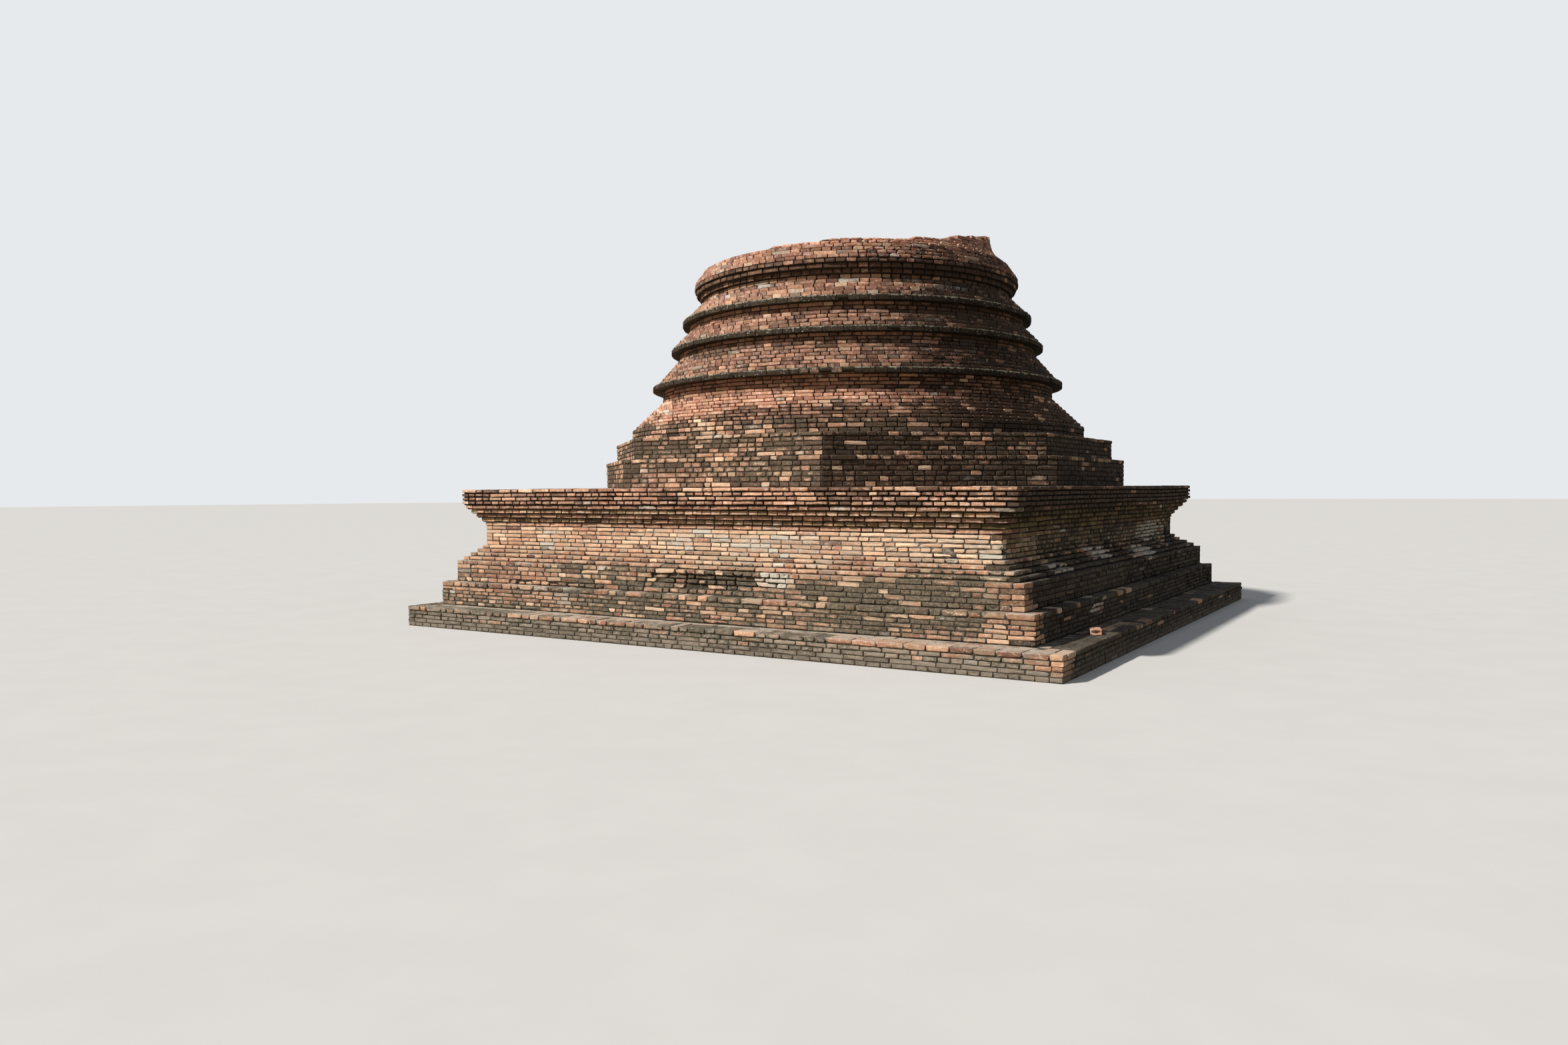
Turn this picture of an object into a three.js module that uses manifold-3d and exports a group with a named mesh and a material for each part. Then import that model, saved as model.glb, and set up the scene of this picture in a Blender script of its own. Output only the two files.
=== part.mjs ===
import * as THREE from "three";
import { mergeVertices } from "three/addons/utils/BufferGeometryUtils.js";
import Module from "manifold-3d";

// A ruined brick stupa: a stepped square platform, two octagonal tiers, a round body of
// necks and flat rings, and the broken foot of its bell.
// Millimetres, +Z up. The origin is at ground level under the centre of the foundation step.
// The -Y face and the +X face are the two faces seen in the photograph.

const wasm = await Module();
wasm.setup();

// The square platform, from the ground up. Half sides, heights, and how far each tier's
// centre has moved from the foundation's centre.
const foundationStep = { halfX: 4020, halfY: 4054, shiftX: 0, shiftY: 0, height: 237 };
const secondStep = { halfX: 3740, halfY: 3758, shiftX: -78, shiftY: 52, height: 280 };
const thirdStep = { halfX: 3597, halfY: 3642, shiftX: -70, shiftY: 38, height: 256 };
const platformWall = { halfX: 3347, halfY: 3277, shiftX: -142, shiftY: -14, height: 230 };
const corniceFascia = { halfX: 3568, halfY: 3459, shiftX: -142, shiftY: -14, height: 189 };

// Each course between two of those tiers stands out from the wall by a share of the way.
const mouldingCourseHeight = 45;
const mouldingShares = [0.79, 0.56, 0.31, 0.15];
const corbelCourseHeight = 52;
const corbelShares = [0.04, 0.2, 0.42, 0.64, 0.84];

// Everything above the platform stands on one axis.
const axisX = -96;
const axisY = 9;

// The octagonal tiers, flat faces towards the platform's four sides.
const octagonLower = { cornerRadius: 3430, height: 330 };
const octagonUpper = { cornerRadius: 3280, height: 248 };

// The round body. Slopes are stepped: each course is set back from the one below it.
const roundSegments = 48;
const roundPlinth = { radius: 2918, height: 156 };
const plinthSlope = { firstRadius: 2875, lastRadius: 2565, courses: 8, courseHeight: 42 };
const lowerNeck = { radius: 2524, height: 168 };
const lowerRing = { radius: 2652, height: 64 };
const lowerRingSlope = { firstRadius: 2576, lastRadius: 2335, courses: 7, courseHeight: 47 };
const middleNeck = { radius: 2300, height: 90 };
const middleRing = { radius: 2407, height: 64 };
const middleRingSlope = { firstRadius: 2360, lastRadius: 2210, courses: 4, courseHeight: 50 };
const upperNeck = { radius: 2172, height: 100 };
const upperRing = { radius: 2263, height: 67 };
const upperRingSlope = { firstRadius: 2195, lastRadius: 2030, courses: 4, courseHeight: 54 };
const bellNeck = { radius: 1992, height: 56 };
const bellCorbels = { firstRadius: 2032, lastRadius: 2080, courses: 2, courseHeight: 58 };
const bellLip = { radius: 2105, height: 50 };
const bellFoot = { firstRadius: 2100, lastRadius: 2000, courses: 4, courseHeight: 47 };

// The broken bell wall: each higher course covers less of the circle. It starts at the given
// bearing from +X on the side that shows, and ends as far on the other side of the high point.
const brokenCourseHeight = 43;
const brokenStartDegrees = [-93, -74, -40, -25, -19, -12, 0, 6, 13, 19];
const brokenHighPointDegrees = 58;
const brokenArcDivisions = 20;
const bellWallRadius = 1738;
const bellWallFlare = 250;
const bellWallFlareHeight = 130;

// A loose brick on the foundation step, and a piece of one on the lower octagonal tier.
const looseBrick = { length: 205, width: 108, height: 52, x: 3846, y: -2562, turn: 110 };
const brickFragment = { length: 118, width: 74, height: 46, x: 1801, y: -2478, turn: 45 };

// Worn hollows: centre and half sizes of the ellipsoid that is cut away.
const frontHollow = { x: 180, z: 655, halfLength: 860, depth: 62, halfHeight: 116 };
const sideHollow = { y: 2250, z: 1040, halfLength: 980, depth: 58, halfHeight: 150 };
const hollowSegments = 20;
const hollowRings = 10;

const wornBrick = new THREE.MeshStandardMaterial({ color: 0x9a6a52, roughness: 0.95, metalness: 0 });
const grimedBrick = new THREE.MeshStandardMaterial({ color: 0x4f4238, roughness: 0.97, metalness: 0 });
const redBrick = new THREE.MeshStandardMaterial({ color: 0xb5623d, roughness: 0.93, metalness: 0 });
const shadedBrick = new THREE.MeshStandardMaterial({ color: 0x6b4433, roughness: 0.95, metalness: 0 });
const lichenBrick = new THREE.MeshStandardMaterial({ color: 0x4a4a42, roughness: 0.98, metalness: 0 });
const brokenBrick = new THREE.MeshStandardMaterial({ color: 0xb87452, roughness: 0.95, metalness: 0 });

const stupa = new THREE.Group();
stupa.name = "stupa";

function radians(degrees) {
  return (degrees * Math.PI) / 180;
}

function between(low, high, share) {
  return low + (high - low) * share;
}

// A closed mesh, with its shared vertices merged, as a manifold solid.
function toSolid(geometry) {
  const bare = geometry.clone();
  bare.deleteAttribute("normal");
  bare.deleteAttribute("uv");
  const merged = mergeVertices(bare, 1e-3);
  const mesh = new wasm.Mesh({
    numProp: 3,
    vertProperties: new Float32Array(merged.attributes.position.array),
    triVerts: new Uint32Array(merged.index.array),
  });
  return new wasm.Manifold(mesh);
}

function fromSolid(solid) {
  const mesh = solid.getMesh();
  const geometry = new THREE.BufferGeometry();
  geometry.setAttribute("position", new THREE.BufferAttribute(mesh.vertProperties, mesh.numProp));
  geometry.setIndex(new THREE.BufferAttribute(mesh.triVerts, 1));
  geometry.computeVertexNormals();
  return geometry;
}

function addPart(name, geometry, material) {
  const mesh = new THREE.Mesh(geometry, material);
  mesh.name = name;
  stupa.add(mesh);
  return mesh;
}

// A closed outline raised straight up, with its flat underside at the given level.
function slab(outline, level, height, curveSegments = 1) {
  const geometry = new THREE.ExtrudeGeometry(outline, {
    depth: height,
    bevelEnabled: false,
    steps: 1,
    curveSegments,
  });
  geometry.translate(0, 0, level);
  return geometry;
}

function rectangle(tier) {
  const left = tier.shiftX - tier.halfX;
  const right = tier.shiftX + tier.halfX;
  const front = tier.shiftY - tier.halfY;
  const back = tier.shiftY + tier.halfY;
  const outline = new THREE.Shape();
  outline.moveTo(left, front);
  outline.lineTo(right, front);
  outline.lineTo(right, back);
  outline.lineTo(left, back);
  outline.closePath();
  return outline;
}

function tierBetween(inner, outer, share) {
  return {
    halfX: Math.round(between(inner.halfX, outer.halfX, share)),
    halfY: Math.round(between(inner.halfY, outer.halfY, share)),
    shiftX: Math.round(between(inner.shiftX, outer.shiftX, share)),
    shiftY: Math.round(between(inner.shiftY, outer.shiftY, share)),
  };
}

// A worn hollow: a flattened ball that reaches into a face.
function hollowSolid(centre, halfSizes) {
  const ball = new THREE.SphereGeometry(1, hollowSegments, hollowRings);
  ball.scale(...halfSizes);
  ball.translate(...centre);
  return toSolid(ball);
}

function frontHollowSolid() {
  const faceY = thirdStep.shiftY - thirdStep.halfY;
  const halfSizes = [frontHollow.halfLength, frontHollow.depth, frontHollow.halfHeight];
  return hollowSolid([frontHollow.x, faceY, frontHollow.z], halfSizes);
}

function sideHollowSolid() {
  const faceX = platformWall.shiftX + platformWall.halfX;
  const halfSizes = [sideHollow.depth, sideHollow.halfLength, sideHollow.halfHeight];
  return hollowSolid([faceX, sideHollow.y, sideHollow.z], halfSizes);
}

function addFoundationStep(level) {
  addPart("foundation_step", slab(rectangle(foundationStep), level, foundationStep.height), wornBrick);
  return level + foundationStep.height;
}

function addSecondStep(level) {
  addPart("second_step", slab(rectangle(secondStep), level, secondStep.height), wornBrick);
  return level + secondStep.height;
}

function addThirdStep(level) {
  const whole = toSolid(slab(rectangle(thirdStep), level, thirdStep.height));
  addPart("third_step", fromSolid(whole.subtract(frontHollowSolid())), wornBrick);
  return level + thirdStep.height;
}

function addBaseMouldings(level) {
  mouldingShares.forEach((share, index) => {
    const course = tierBetween(platformWall, thirdStep, share);
    const bottom = level + index * mouldingCourseHeight;
    addPart(`base_moulding_course_${index + 1}`, slab(rectangle(course), bottom, mouldingCourseHeight), wornBrick);
  });
  return level + mouldingShares.length * mouldingCourseHeight;
}

function addPlatformWall(level) {
  const whole = toSolid(slab(rectangle(platformWall), level, platformWall.height));
  addPart("platform_wall", fromSolid(whole.subtract(sideHollowSolid())), wornBrick);
  return level + platformWall.height;
}

function addCorniceCorbels(level) {
  corbelShares.forEach((share, index) => {
    const course = tierBetween(platformWall, corniceFascia, share);
    const bottom = level + index * corbelCourseHeight;
    addPart(`cornice_corbel_${index + 1}`, slab(rectangle(course), bottom, corbelCourseHeight), redBrick);
  });
  return level + corbelShares.length * corbelCourseHeight;
}

function addCorniceFascia(level) {
  addPart("cornice_fascia", slab(rectangle(corniceFascia), level, corniceFascia.height), redBrick);
  return level + corniceFascia.height;
}

function octagon(cornerRadius) {
  const outline = new THREE.Shape();
  for (let corner = 0; corner < 8; corner += 1) {
    const bearing = radians(22.5 + corner * 45);
    const x = axisX + cornerRadius * Math.cos(bearing);
    const y = axisY + cornerRadius * Math.sin(bearing);
    if (corner === 0) {
      outline.moveTo(x, y);
    } else {
      outline.lineTo(x, y);
    }
  }
  outline.closePath();
  return outline;
}

function addOctagonTier(name, tier, level) {
  addPart(name, slab(octagon(tier.cornerRadius), level, tier.height), grimedBrick);
  return level + tier.height;
}

// A turned solid about the stupa's axis, from the rings of its profile.
function turned(profile) {
  const points = profile.map(([radius, height]) => new THREE.Vector2(radius, height));
  const geometry = new THREE.LatheGeometry(points, roundSegments);
  geometry.rotateX(Math.PI / 2);
  geometry.translate(axisX, axisY, 0);
  return geometry;
}

function addDrum(name, drum, level, material) {
  const top = level + drum.height;
  const profile = [
    [0, level],
    [drum.radius, level],
    [drum.radius, top],
    [0, top],
  ];
  addPart(name, turned(profile), material);
  return top;
}

// A stack of courses, each with its own radius, turned as one stepped solid.
function addSteppedCourses(name, courses, level, material) {
  const profile = [[0, level]];
  for (let index = 0; index < courses.courses; index += 1) {
    const share = index / (courses.courses - 1);
    const radius = Math.round(between(courses.firstRadius, courses.lastRadius, share));
    const bottom = level + index * courses.courseHeight;
    profile.push([radius, bottom], [radius, bottom + courses.courseHeight]);
  }
  const top = level + courses.courses * courses.courseHeight;
  profile.push([0, top]);
  addPart(name, turned(profile), material);
  return top;
}

function brokenCourseRadius(index) {
  const rise = (index + 0.5) * brokenCourseHeight;
  return bellWallRadius + bellWallFlare * Math.exp(-rise / bellWallFlareHeight);
}

// One broken course: the part of the round wall on the high side of a straight break.
function brokenCourse(index) {
  const start = radians(brokenStartDegrees[index]);
  const end = radians(2 * brokenHighPointDegrees - brokenStartDegrees[index]);
  const outline = new THREE.Shape();
  outline.absarc(axisX, axisY, brokenCourseRadius(index), start, end, false);
  outline.closePath();
  return outline;
}

function addBrokenBell(level) {
  brokenStartDegrees.forEach((_, index) => {
    const name = `broken_bell_course_${String(index + 1).padStart(2, "0")}`;
    const bottom = level + index * brokenCourseHeight;
    addPart(name, slab(brokenCourse(index), bottom, brokenCourseHeight, brokenArcDivisions), brokenBrick);
  });
  return level + brokenStartDegrees.length * brokenCourseHeight;
}

// A brick lying on a ledge, turned about the vertical.
function addLyingBrick(name, brick, level, material) {
  const geometry = new THREE.BoxGeometry(brick.length, brick.width, brick.height);
  geometry.rotateZ(radians(brick.turn));
  geometry.translate(brick.x, brick.y, level + brick.height / 2);
  addPart(name, geometry, material);
}

let level = addFoundationStep(0);
addLyingBrick("loose_brick", looseBrick, level, redBrick);
level = addSecondStep(level);
level = addThirdStep(level);
level = addBaseMouldings(level);
level = addPlatformWall(level);
level = addCorniceCorbels(level);
level = addCorniceFascia(level);
level = addOctagonTier("octagon_lower_tier", octagonLower, level);
addLyingBrick("brick_fragment", brickFragment, level, redBrick);
level = addOctagonTier("octagon_upper_tier", octagonUpper, level);
level = addDrum("round_plinth", roundPlinth, level, grimedBrick);
level = addSteppedCourses("plinth_slope", plinthSlope, level, redBrick);
level = addDrum("lower_neck", lowerNeck, level, shadedBrick);
level = addDrum("lower_ring", lowerRing, level, lichenBrick);
level = addSteppedCourses("lower_ring_slope", lowerRingSlope, level, redBrick);
level = addDrum("middle_neck", middleNeck, level, shadedBrick);
level = addDrum("middle_ring", middleRing, level, lichenBrick);
level = addSteppedCourses("middle_ring_slope", middleRingSlope, level, redBrick);
level = addDrum("upper_neck", upperNeck, level, shadedBrick);
level = addDrum("upper_ring", upperRing, level, lichenBrick);
level = addSteppedCourses("upper_ring_slope", upperRingSlope, level, redBrick);
level = addDrum("bell_neck", bellNeck, level, shadedBrick);
level = addSteppedCourses("bell_corbels", bellCorbels, level, shadedBrick);
level = addDrum("bell_lip", bellLip, level, brokenBrick);
level = addSteppedCourses("bell_foot", bellFoot, level, brokenBrick);
addBrokenBell(level);

export default stupa;
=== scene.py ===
import math

import bmesh
import bpy
import numpy as np
from mathutils import Matrix, Vector, noise


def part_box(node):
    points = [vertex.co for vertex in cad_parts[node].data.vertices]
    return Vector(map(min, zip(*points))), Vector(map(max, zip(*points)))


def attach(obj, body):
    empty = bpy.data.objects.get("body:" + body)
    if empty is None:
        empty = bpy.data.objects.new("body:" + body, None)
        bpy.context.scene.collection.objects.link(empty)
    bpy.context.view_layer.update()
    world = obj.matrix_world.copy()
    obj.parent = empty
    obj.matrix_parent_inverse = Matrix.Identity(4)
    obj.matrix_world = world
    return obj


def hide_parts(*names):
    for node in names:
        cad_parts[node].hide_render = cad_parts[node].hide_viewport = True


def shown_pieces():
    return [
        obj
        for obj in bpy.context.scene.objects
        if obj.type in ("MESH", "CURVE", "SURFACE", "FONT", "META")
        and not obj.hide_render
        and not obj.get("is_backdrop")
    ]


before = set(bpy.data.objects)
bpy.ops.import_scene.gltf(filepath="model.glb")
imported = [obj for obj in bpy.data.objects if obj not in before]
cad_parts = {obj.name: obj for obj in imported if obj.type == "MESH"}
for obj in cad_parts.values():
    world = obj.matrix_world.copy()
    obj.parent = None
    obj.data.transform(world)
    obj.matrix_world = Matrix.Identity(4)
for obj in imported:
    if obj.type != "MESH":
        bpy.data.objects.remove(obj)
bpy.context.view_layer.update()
print("frame loaded with", len(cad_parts), "nodes")

scene = bpy.context.scene

# the photographer's place and the way the camera points
photoView = {
    "place": (6.8984, -12.9761, 1.6216),
    "yaw": math.radians(-32.0),
    "pitch": math.radians(-1.748),
    "roll": math.radians(-0.305),
    "focalPixels": 1668.47,
    "photoWidthPixels": 2352,
    "sensorWidth": 36.0,
    "clipEnd": 500,
}


def makeCamera(view):
    yaw = view["yaw"]
    pitch = view["pitch"]
    level = Vector((math.cos(yaw), -math.sin(yaw), 0))
    forward = Vector((math.sin(yaw) * math.cos(pitch), math.cos(yaw) * math.cos(pitch), math.sin(pitch)))
    overhead = level.cross(forward)
    right = math.cos(view["roll"]) * level + math.sin(view["roll"]) * overhead
    up = math.cos(view["roll"]) * overhead - math.sin(view["roll"]) * level
    data = bpy.data.cameras.new("photoCamera")
    data.sensor_width = view["sensorWidth"]
    data.lens = view["focalPixels"] / view["photoWidthPixels"] * view["sensorWidth"]
    data.clip_end = view["clipEnd"]
    camera = bpy.data.objects.new("photoCamera", data)
    turn = Matrix((right, up, -forward)).transposed()
    camera.matrix_world = Matrix.Translation(view["place"]) @ turn.to_4x4()
    scene.collection.objects.link(camera)
    scene.camera = camera


makeCamera(photoView)


# small helpers for node trees: a value that is a socket is linked, any other is typed in
def feed(tree, socket, value):
    if isinstance(value, bpy.types.NodeSocket):
        tree.links.new(value, socket)
    elif hasattr(value, "__len__") and len(value) == 3 and socket.type == "RGBA":
        socket.default_value = (*value, 1)
    else:
        socket.default_value = value


def addNode(tree, kind, inputs=None, **settings):
    node = tree.nodes.new(kind)
    for name, value in settings.items():
        setattr(node, name, value)
    for name, value in (inputs or {}).items():
        feed(tree, node.inputs[name], value)
    return node


def compute(tree, operation, first, second=0.0, third=0.0, clamp=False):
    inputs = {0: first, 1: second, 2: third}
    return addNode(tree, "ShaderNodeMath", inputs, operation=operation, use_clamp=clamp).outputs[0]


def times(tree, first, second):
    return compute(tree, "MULTIPLY", first, second)


def plus(tree, first, second, clamp=False):
    return compute(tree, "ADD", first, second, clamp=clamp)


def minus(tree, first, second):
    return compute(tree, "SUBTRACT", first, second)


def combine(tree, operation, first, second):
    return addNode(tree, "ShaderNodeVectorMath", {0: first, 1: second}, operation=operation).outputs[0]


def brighten(tree, colour, factor):
    return addNode(tree, "ShaderNodeVectorMath", {0: colour, "Scale": factor}, operation="SCALE").outputs[0]


def mixColour(tree, factor, under, over, blend="MIX"):
    inputs = {0: factor, 6: under, 7: over}
    return addNode(tree, "ShaderNodeMix", inputs, data_type="RGBA", blend_type=blend).outputs[2]


def remap(tree, value, low, high, newLow=0.0, newHigh=1.0):
    inputs = {"Value": value, "From Min": low, "From Max": high, "To Min": newLow, "To Max": newHigh}
    return addNode(tree, "ShaderNodeMapRange", inputs, interpolation_type="SMOOTHSTEP").outputs[0]


def colourRamp(tree, factor, stops):
    node = addNode(tree, "ShaderNodeValToRGB", {"Fac": factor})
    band = node.color_ramp
    while len(band.elements) < len(stops):
        band.elements.new(0.5)
    for element, (place, colour) in zip(band.elements, stops):
        element.position = place
        element.color = (*colour, 1)
    return node.outputs["Color"]


def cloud(tree, place, scale, detail=4.0, rough=0.55):
    inputs = {"Vector": place, "Scale": scale, "Detail": detail, "Roughness": rough}
    return addNode(tree, "ShaderNodeTexNoise", inputs).outputs["Fac"]


def attribute(tree, name):
    settings = {"attribute_type": "GEOMETRY", "attribute_name": name}
    return addNode(tree, "ShaderNodeAttribute", **settings).outputs["Fac"]


socketKinds = {"value": "NodeSocketFloat", "colour": "NodeSocketColor", "place": "NodeSocketVector"}


def newGroup(name, inputs, outputs):
    group = bpy.data.node_groups.new(name, "ShaderNodeTree")
    for way, labels in (("INPUT", inputs), ("OUTPUT", outputs)):
        for label, kind in labels.items():
            group.interface.new_socket(label, in_out=way, socket_type=socketKinds[kind])
    entry = group.nodes.new("NodeGroupInput")
    leave = group.nodes.new("NodeGroupOutput")
    return group, entry.outputs, leave.inputs


def useGroup(tree, group, inputs):
    node = tree.nodes.new("ShaderNodeGroup")
    node.node_tree = group
    for name, value in inputs.items():
        feed(tree, node.inputs[name], value)
    return node.outputs


def newMaterial(name):
    material = bpy.data.materials.new(name)
    material.use_nodes = True
    tree = material.node_tree
    place = addNode(tree, "ShaderNodeTexCoord").outputs["Object"]
    return material, tree, tree.nodes["Principled BSDF"], place


# a soft sun from the front left, halfway up, and an even surround that looks paler than the light it gives
studio = {
    "sunBearing": math.radians(-123),
    "sunHeight": math.radians(42.5),
    "sunStrength": 4.5,
    "sunSpread": math.radians(3),
    "sunColour": (1.0, 0.965, 0.91),
    "surroundColour": (0.77, 0.82, 0.91),
    "surroundStrength": 0.34,
    "backdropColour": (0.80, 0.82, 0.84),
    "floorRadius": 140,
    "floorColour": (0.60, 0.59, 0.57),
    "bounceColour": (0.27, 0.235, 0.16),
}


def makeLights(light):
    lamp = bpy.data.lights.new("softSun", "SUN")
    lamp.energy = light["sunStrength"]
    lamp.angle = light["sunSpread"]
    lamp.color = light["sunColour"]
    sun = bpy.data.objects.new("softSun", lamp)
    level = math.cos(light["sunHeight"])
    towards = Vector((
        level * math.cos(light["sunBearing"]),
        level * math.sin(light["sunBearing"]),
        math.sin(light["sunHeight"]),
    ))
    sun.rotation_mode = "QUATERNION"
    sun.rotation_quaternion = towards.to_track_quat("Z", "Y")
    sun.location = towards * 20
    scene.collection.objects.link(sun)
    world = bpy.data.worlds.new("surround")
    world.use_nodes = True
    tree = world.node_tree
    background = tree.nodes["Background"]
    seen = addNode(tree, "ShaderNodeLightPath").outputs["Is Camera Ray"]
    colour = mixColour(tree, seen, light["surroundColour"], light["backdropColour"])
    strength = light["surroundStrength"]
    feed(tree, background.inputs["Color"], colour)
    feed(tree, background.inputs["Strength"], compute(tree, "MULTIPLY_ADD", seen, 1 - strength, strength))
    scene.world = world
    scene.view_settings.view_transform = "Standard"
    scene.view_settings.look = "None"


makeLights(studio)
print("camera and lights are in place")

# scales are repeats per metre; the colours run from overfired brown through red to pale underfired
# clay, and end in overfired grey
clayLook = {
    "blotchScale": 16.0,
    "bleachScale": 22.0,
    "bleachCover": 0.8,
    "speckleScale": 150.0,
    "colours": ((0.00, (0.105, 0.062, 0.046)), (0.16, (0.215, 0.104, 0.070)), (0.34, (0.340, 0.163, 0.104)),
                (0.52, (0.450, 0.240, 0.146)), (0.68, (0.545, 0.330, 0.208)), (0.84, (0.660, 0.465, 0.310)),
                (1.00, (0.310, 0.262, 0.220))),
}


def makeClayFiring(look):
    group, given, made = newGroup(
        "clayFiring",
        {"Place": "place", "Tone": "value", "Shade": "value", "Mottle": "value", "Bleached": "colour"},
        {"Colour": "colour"})
    place = given["Place"]
    blotch = cloud(group, place, look["blotchScale"], 5.0, 0.6)
    shift = times(group, minus(group, blotch, 0.5), given["Mottle"])
    clay = colourRamp(group, plus(group, given["Tone"], shift, clamp=True), look["colours"])
    # the weather has bleached parts of each face
    weather = cloud(group, place, look["bleachScale"], 6.0, 0.7)
    bleached = remap(group, weather, 0.47, 0.68, 0.0, look["bleachCover"])
    clay = mixColour(group, bleached, clay, given["Bleached"])
    speckle = remap(group, cloud(group, place, look["speckleScale"], 3.0, 0.7), 0.25, 0.75, 0.68, 1.28)
    # the clay's brightness is scaled by the brightness input from the tier paint, which carries painted light
    # and shade
    feed(group, made["Colour"], brighten(group, clay, times(group, speckle, given["Shade"])))
    return group


# black growth in three sizes of patches: over many bricks, within a face, and its ragged rim
crustLook = {
    "wideScale": 4.5,
    "faceScale": 14.0,
    "fineScale": 60.0,
    "shares": (0.31, 0.26, 0.43),
    "colourScale": 30.0,
    "colours": ((0.28, (0.022, 0.017, 0.013)), (0.46, (0.070, 0.054, 0.039)), (0.60, (0.135, 0.108, 0.074)),
                (0.74, (0.240, 0.200, 0.138))),
    "fleckScale": 85.0,
    "fleckColour": (0.36, 0.285, 0.185),
}


def makeBlackCrust(look):
    group, given, made = newGroup(
        "blackCrust",
        {"Place": "place", "Own Place": "place", "Amount": "value", "Edge": "value", "Softness": "value",
         "Tint": "colour", "Light": "value"},
        {"Mask": "value", "Colour": "colour"})
    place = given["Place"]
    flattened = combine(group, "MULTIPLY", place, (1.0, 1.0, 1.7))
    ownFlattened = combine(group, "MULTIPLY", given["Own Place"], (1.0, 1.0, 1.4))
    wideShare, faceShare, fineShare = look["shares"]
    wide = cloud(group, flattened, look["wideScale"], 4.0, 0.62)
    face = cloud(group, ownFlattened, look["faceScale"], 4.0, 0.62)
    fine = cloud(group, place, look["fineScale"], 5.0, 0.72)
    grain = compute(group, "MULTIPLY_ADD", wide, wideShare, times(group, face, faceShare))
    grain = compute(group, "MULTIPLY_ADD", fine, fineShare, grain)
    # the growth starts at the joints and reaches the middle of a face last
    rim = remap(group, given["Edge"], 0.3, 1.0, -0.03, 0.05)
    limit = compute(group, "MULTIPLY_ADD", given["Amount"], -0.46, 0.73)
    above = minus(group, plus(group, grain, rim), limit)
    half = times(group, given["Softness"], 0.5)
    feed(group, made["Mask"], remap(group, above, times(group, half, -1.0), half))
    tint = colourRamp(group, cloud(group, place, look["colourScale"], 6.0, 0.76), look["colours"])
    # flecks of dry lichen and bare grit
    flecks = remap(group, cloud(group, place, look["fleckScale"], 2.0, 0.5), 0.60, 0.68, 0.0, 0.55)
    tint = mixColour(group, flecks, tint, look["fleckColour"])
    tint = mixColour(group, 1.0, tint, given["Tint"], "MULTIPLY")
    feed(group, made["Colour"], brighten(group, tint, given["Light"]))
    return group


# dust lies in drifts, and thickest on what faces up
dustLook = {"driftScale": 9.0, "gritScale": 55.0, "cover": 0.9}


def makePaleDust(look):
    group, given, made = newGroup(
        "paleDust",
        {"Place": "place", "Amount": "value", "Tread": "value", "Tint": "colour"},
        {"Mask": "value", "Colour": "colour"})
    place = given["Place"]
    normal = addNode(group, "ShaderNodeNewGeometry").outputs["Normal"]
    up = addNode(group, "ShaderNodeSeparateXYZ", {"Vector": normal}).outputs["Z"]
    flat = times(group, remap(group, up, 0.35, 0.9), given["Tread"])
    amount = plus(group, given["Amount"], flat, clamp=True)
    drift = cloud(group, place, look["driftScale"], 6.0, 0.62)
    limit = minus(group, 0.80, times(group, amount, 0.62))
    lies = remap(group, minus(group, drift, limit), -0.12, 0.3)
    feed(group, made["Mask"], times(group, lies, look["cover"]))
    grit = remap(group, cloud(group, place, look["gritScale"], 5.0, 0.72), 0.3, 0.7, 0.6, 1.25)
    feed(group, made["Colour"], brighten(group, given["Tint"], grit))
    return group


# round spots of pale lichen that come in clusters
spotLook = {
    "size": 0.42,
    "raggedScale": 120.0,
    "clusterScale": 5.0,
    "colours": ((0.0, (0.20, 0.20, 0.165)), (0.5, (0.34, 0.33, 0.28)), (1.0, (0.52, 0.50, 0.44))),
}


def makeLichenSpots(look):
    group, given, made = newGroup(
        "lichenSpots",
        {"Place": "place", "Amount": "value", "Spots per metre": "value"},
        {"Mask": "value", "Colour": "colour"})
    place = given["Place"]
    inputs = {"Vector": place, "Scale": given["Spots per metre"]}
    cells = addNode(group, "ShaderNodeTexVoronoi", inputs).outputs
    split = addNode(group, "ShaderNodeSeparateColor", {"Color": cells["Color"]}).outputs
    size = times(group, remap(group, split["Red"], 0.35, 1.0), look["size"])
    ragged = times(group, minus(group, cloud(group, place, look["raggedScale"], 3.0), 0.5), 0.3)
    edge = minus(group, plus(group, cells["Distance"], ragged), size)
    spot = remap(group, edge, 0.05, -0.05)
    cluster = times(group, remap(group, cloud(group, place, look["clusterScale"], 3.0), 0.62, 0.38), 0.8)
    where = plus(group, cluster, minus(group, given["Amount"], 0.4), clamp=True)
    feed(group, made["Mask"], times(group, times(group, spot, where), given["Amount"]))
    feed(group, made["Colour"], colourRamp(group, split["Green"], look["colours"]))
    return group


def makeThinFilm():
    group, given, made = newGroup(
        "thinFilm", {"Place": "place", "Amount": "value", "Scale": "value"}, {"Mask": "value"})
    drift = cloud(group, given["Place"], given["Scale"], 5.0, 0.6)
    limit = minus(group, 0.85, times(group, given["Amount"], 0.75))
    feed(group, made["Mask"], remap(group, minus(group, drift, limit), -0.1, 0.16))
    return group


reliefLook = {
    "sandScale": 210.0,
    "sand": 0.16,
    "lumpScale": 38.0,
    "lumps": 0.55,
    "pitScale": 95.0,
    "flakeScale": (28.0, 28.0, 36.0),
}


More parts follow.
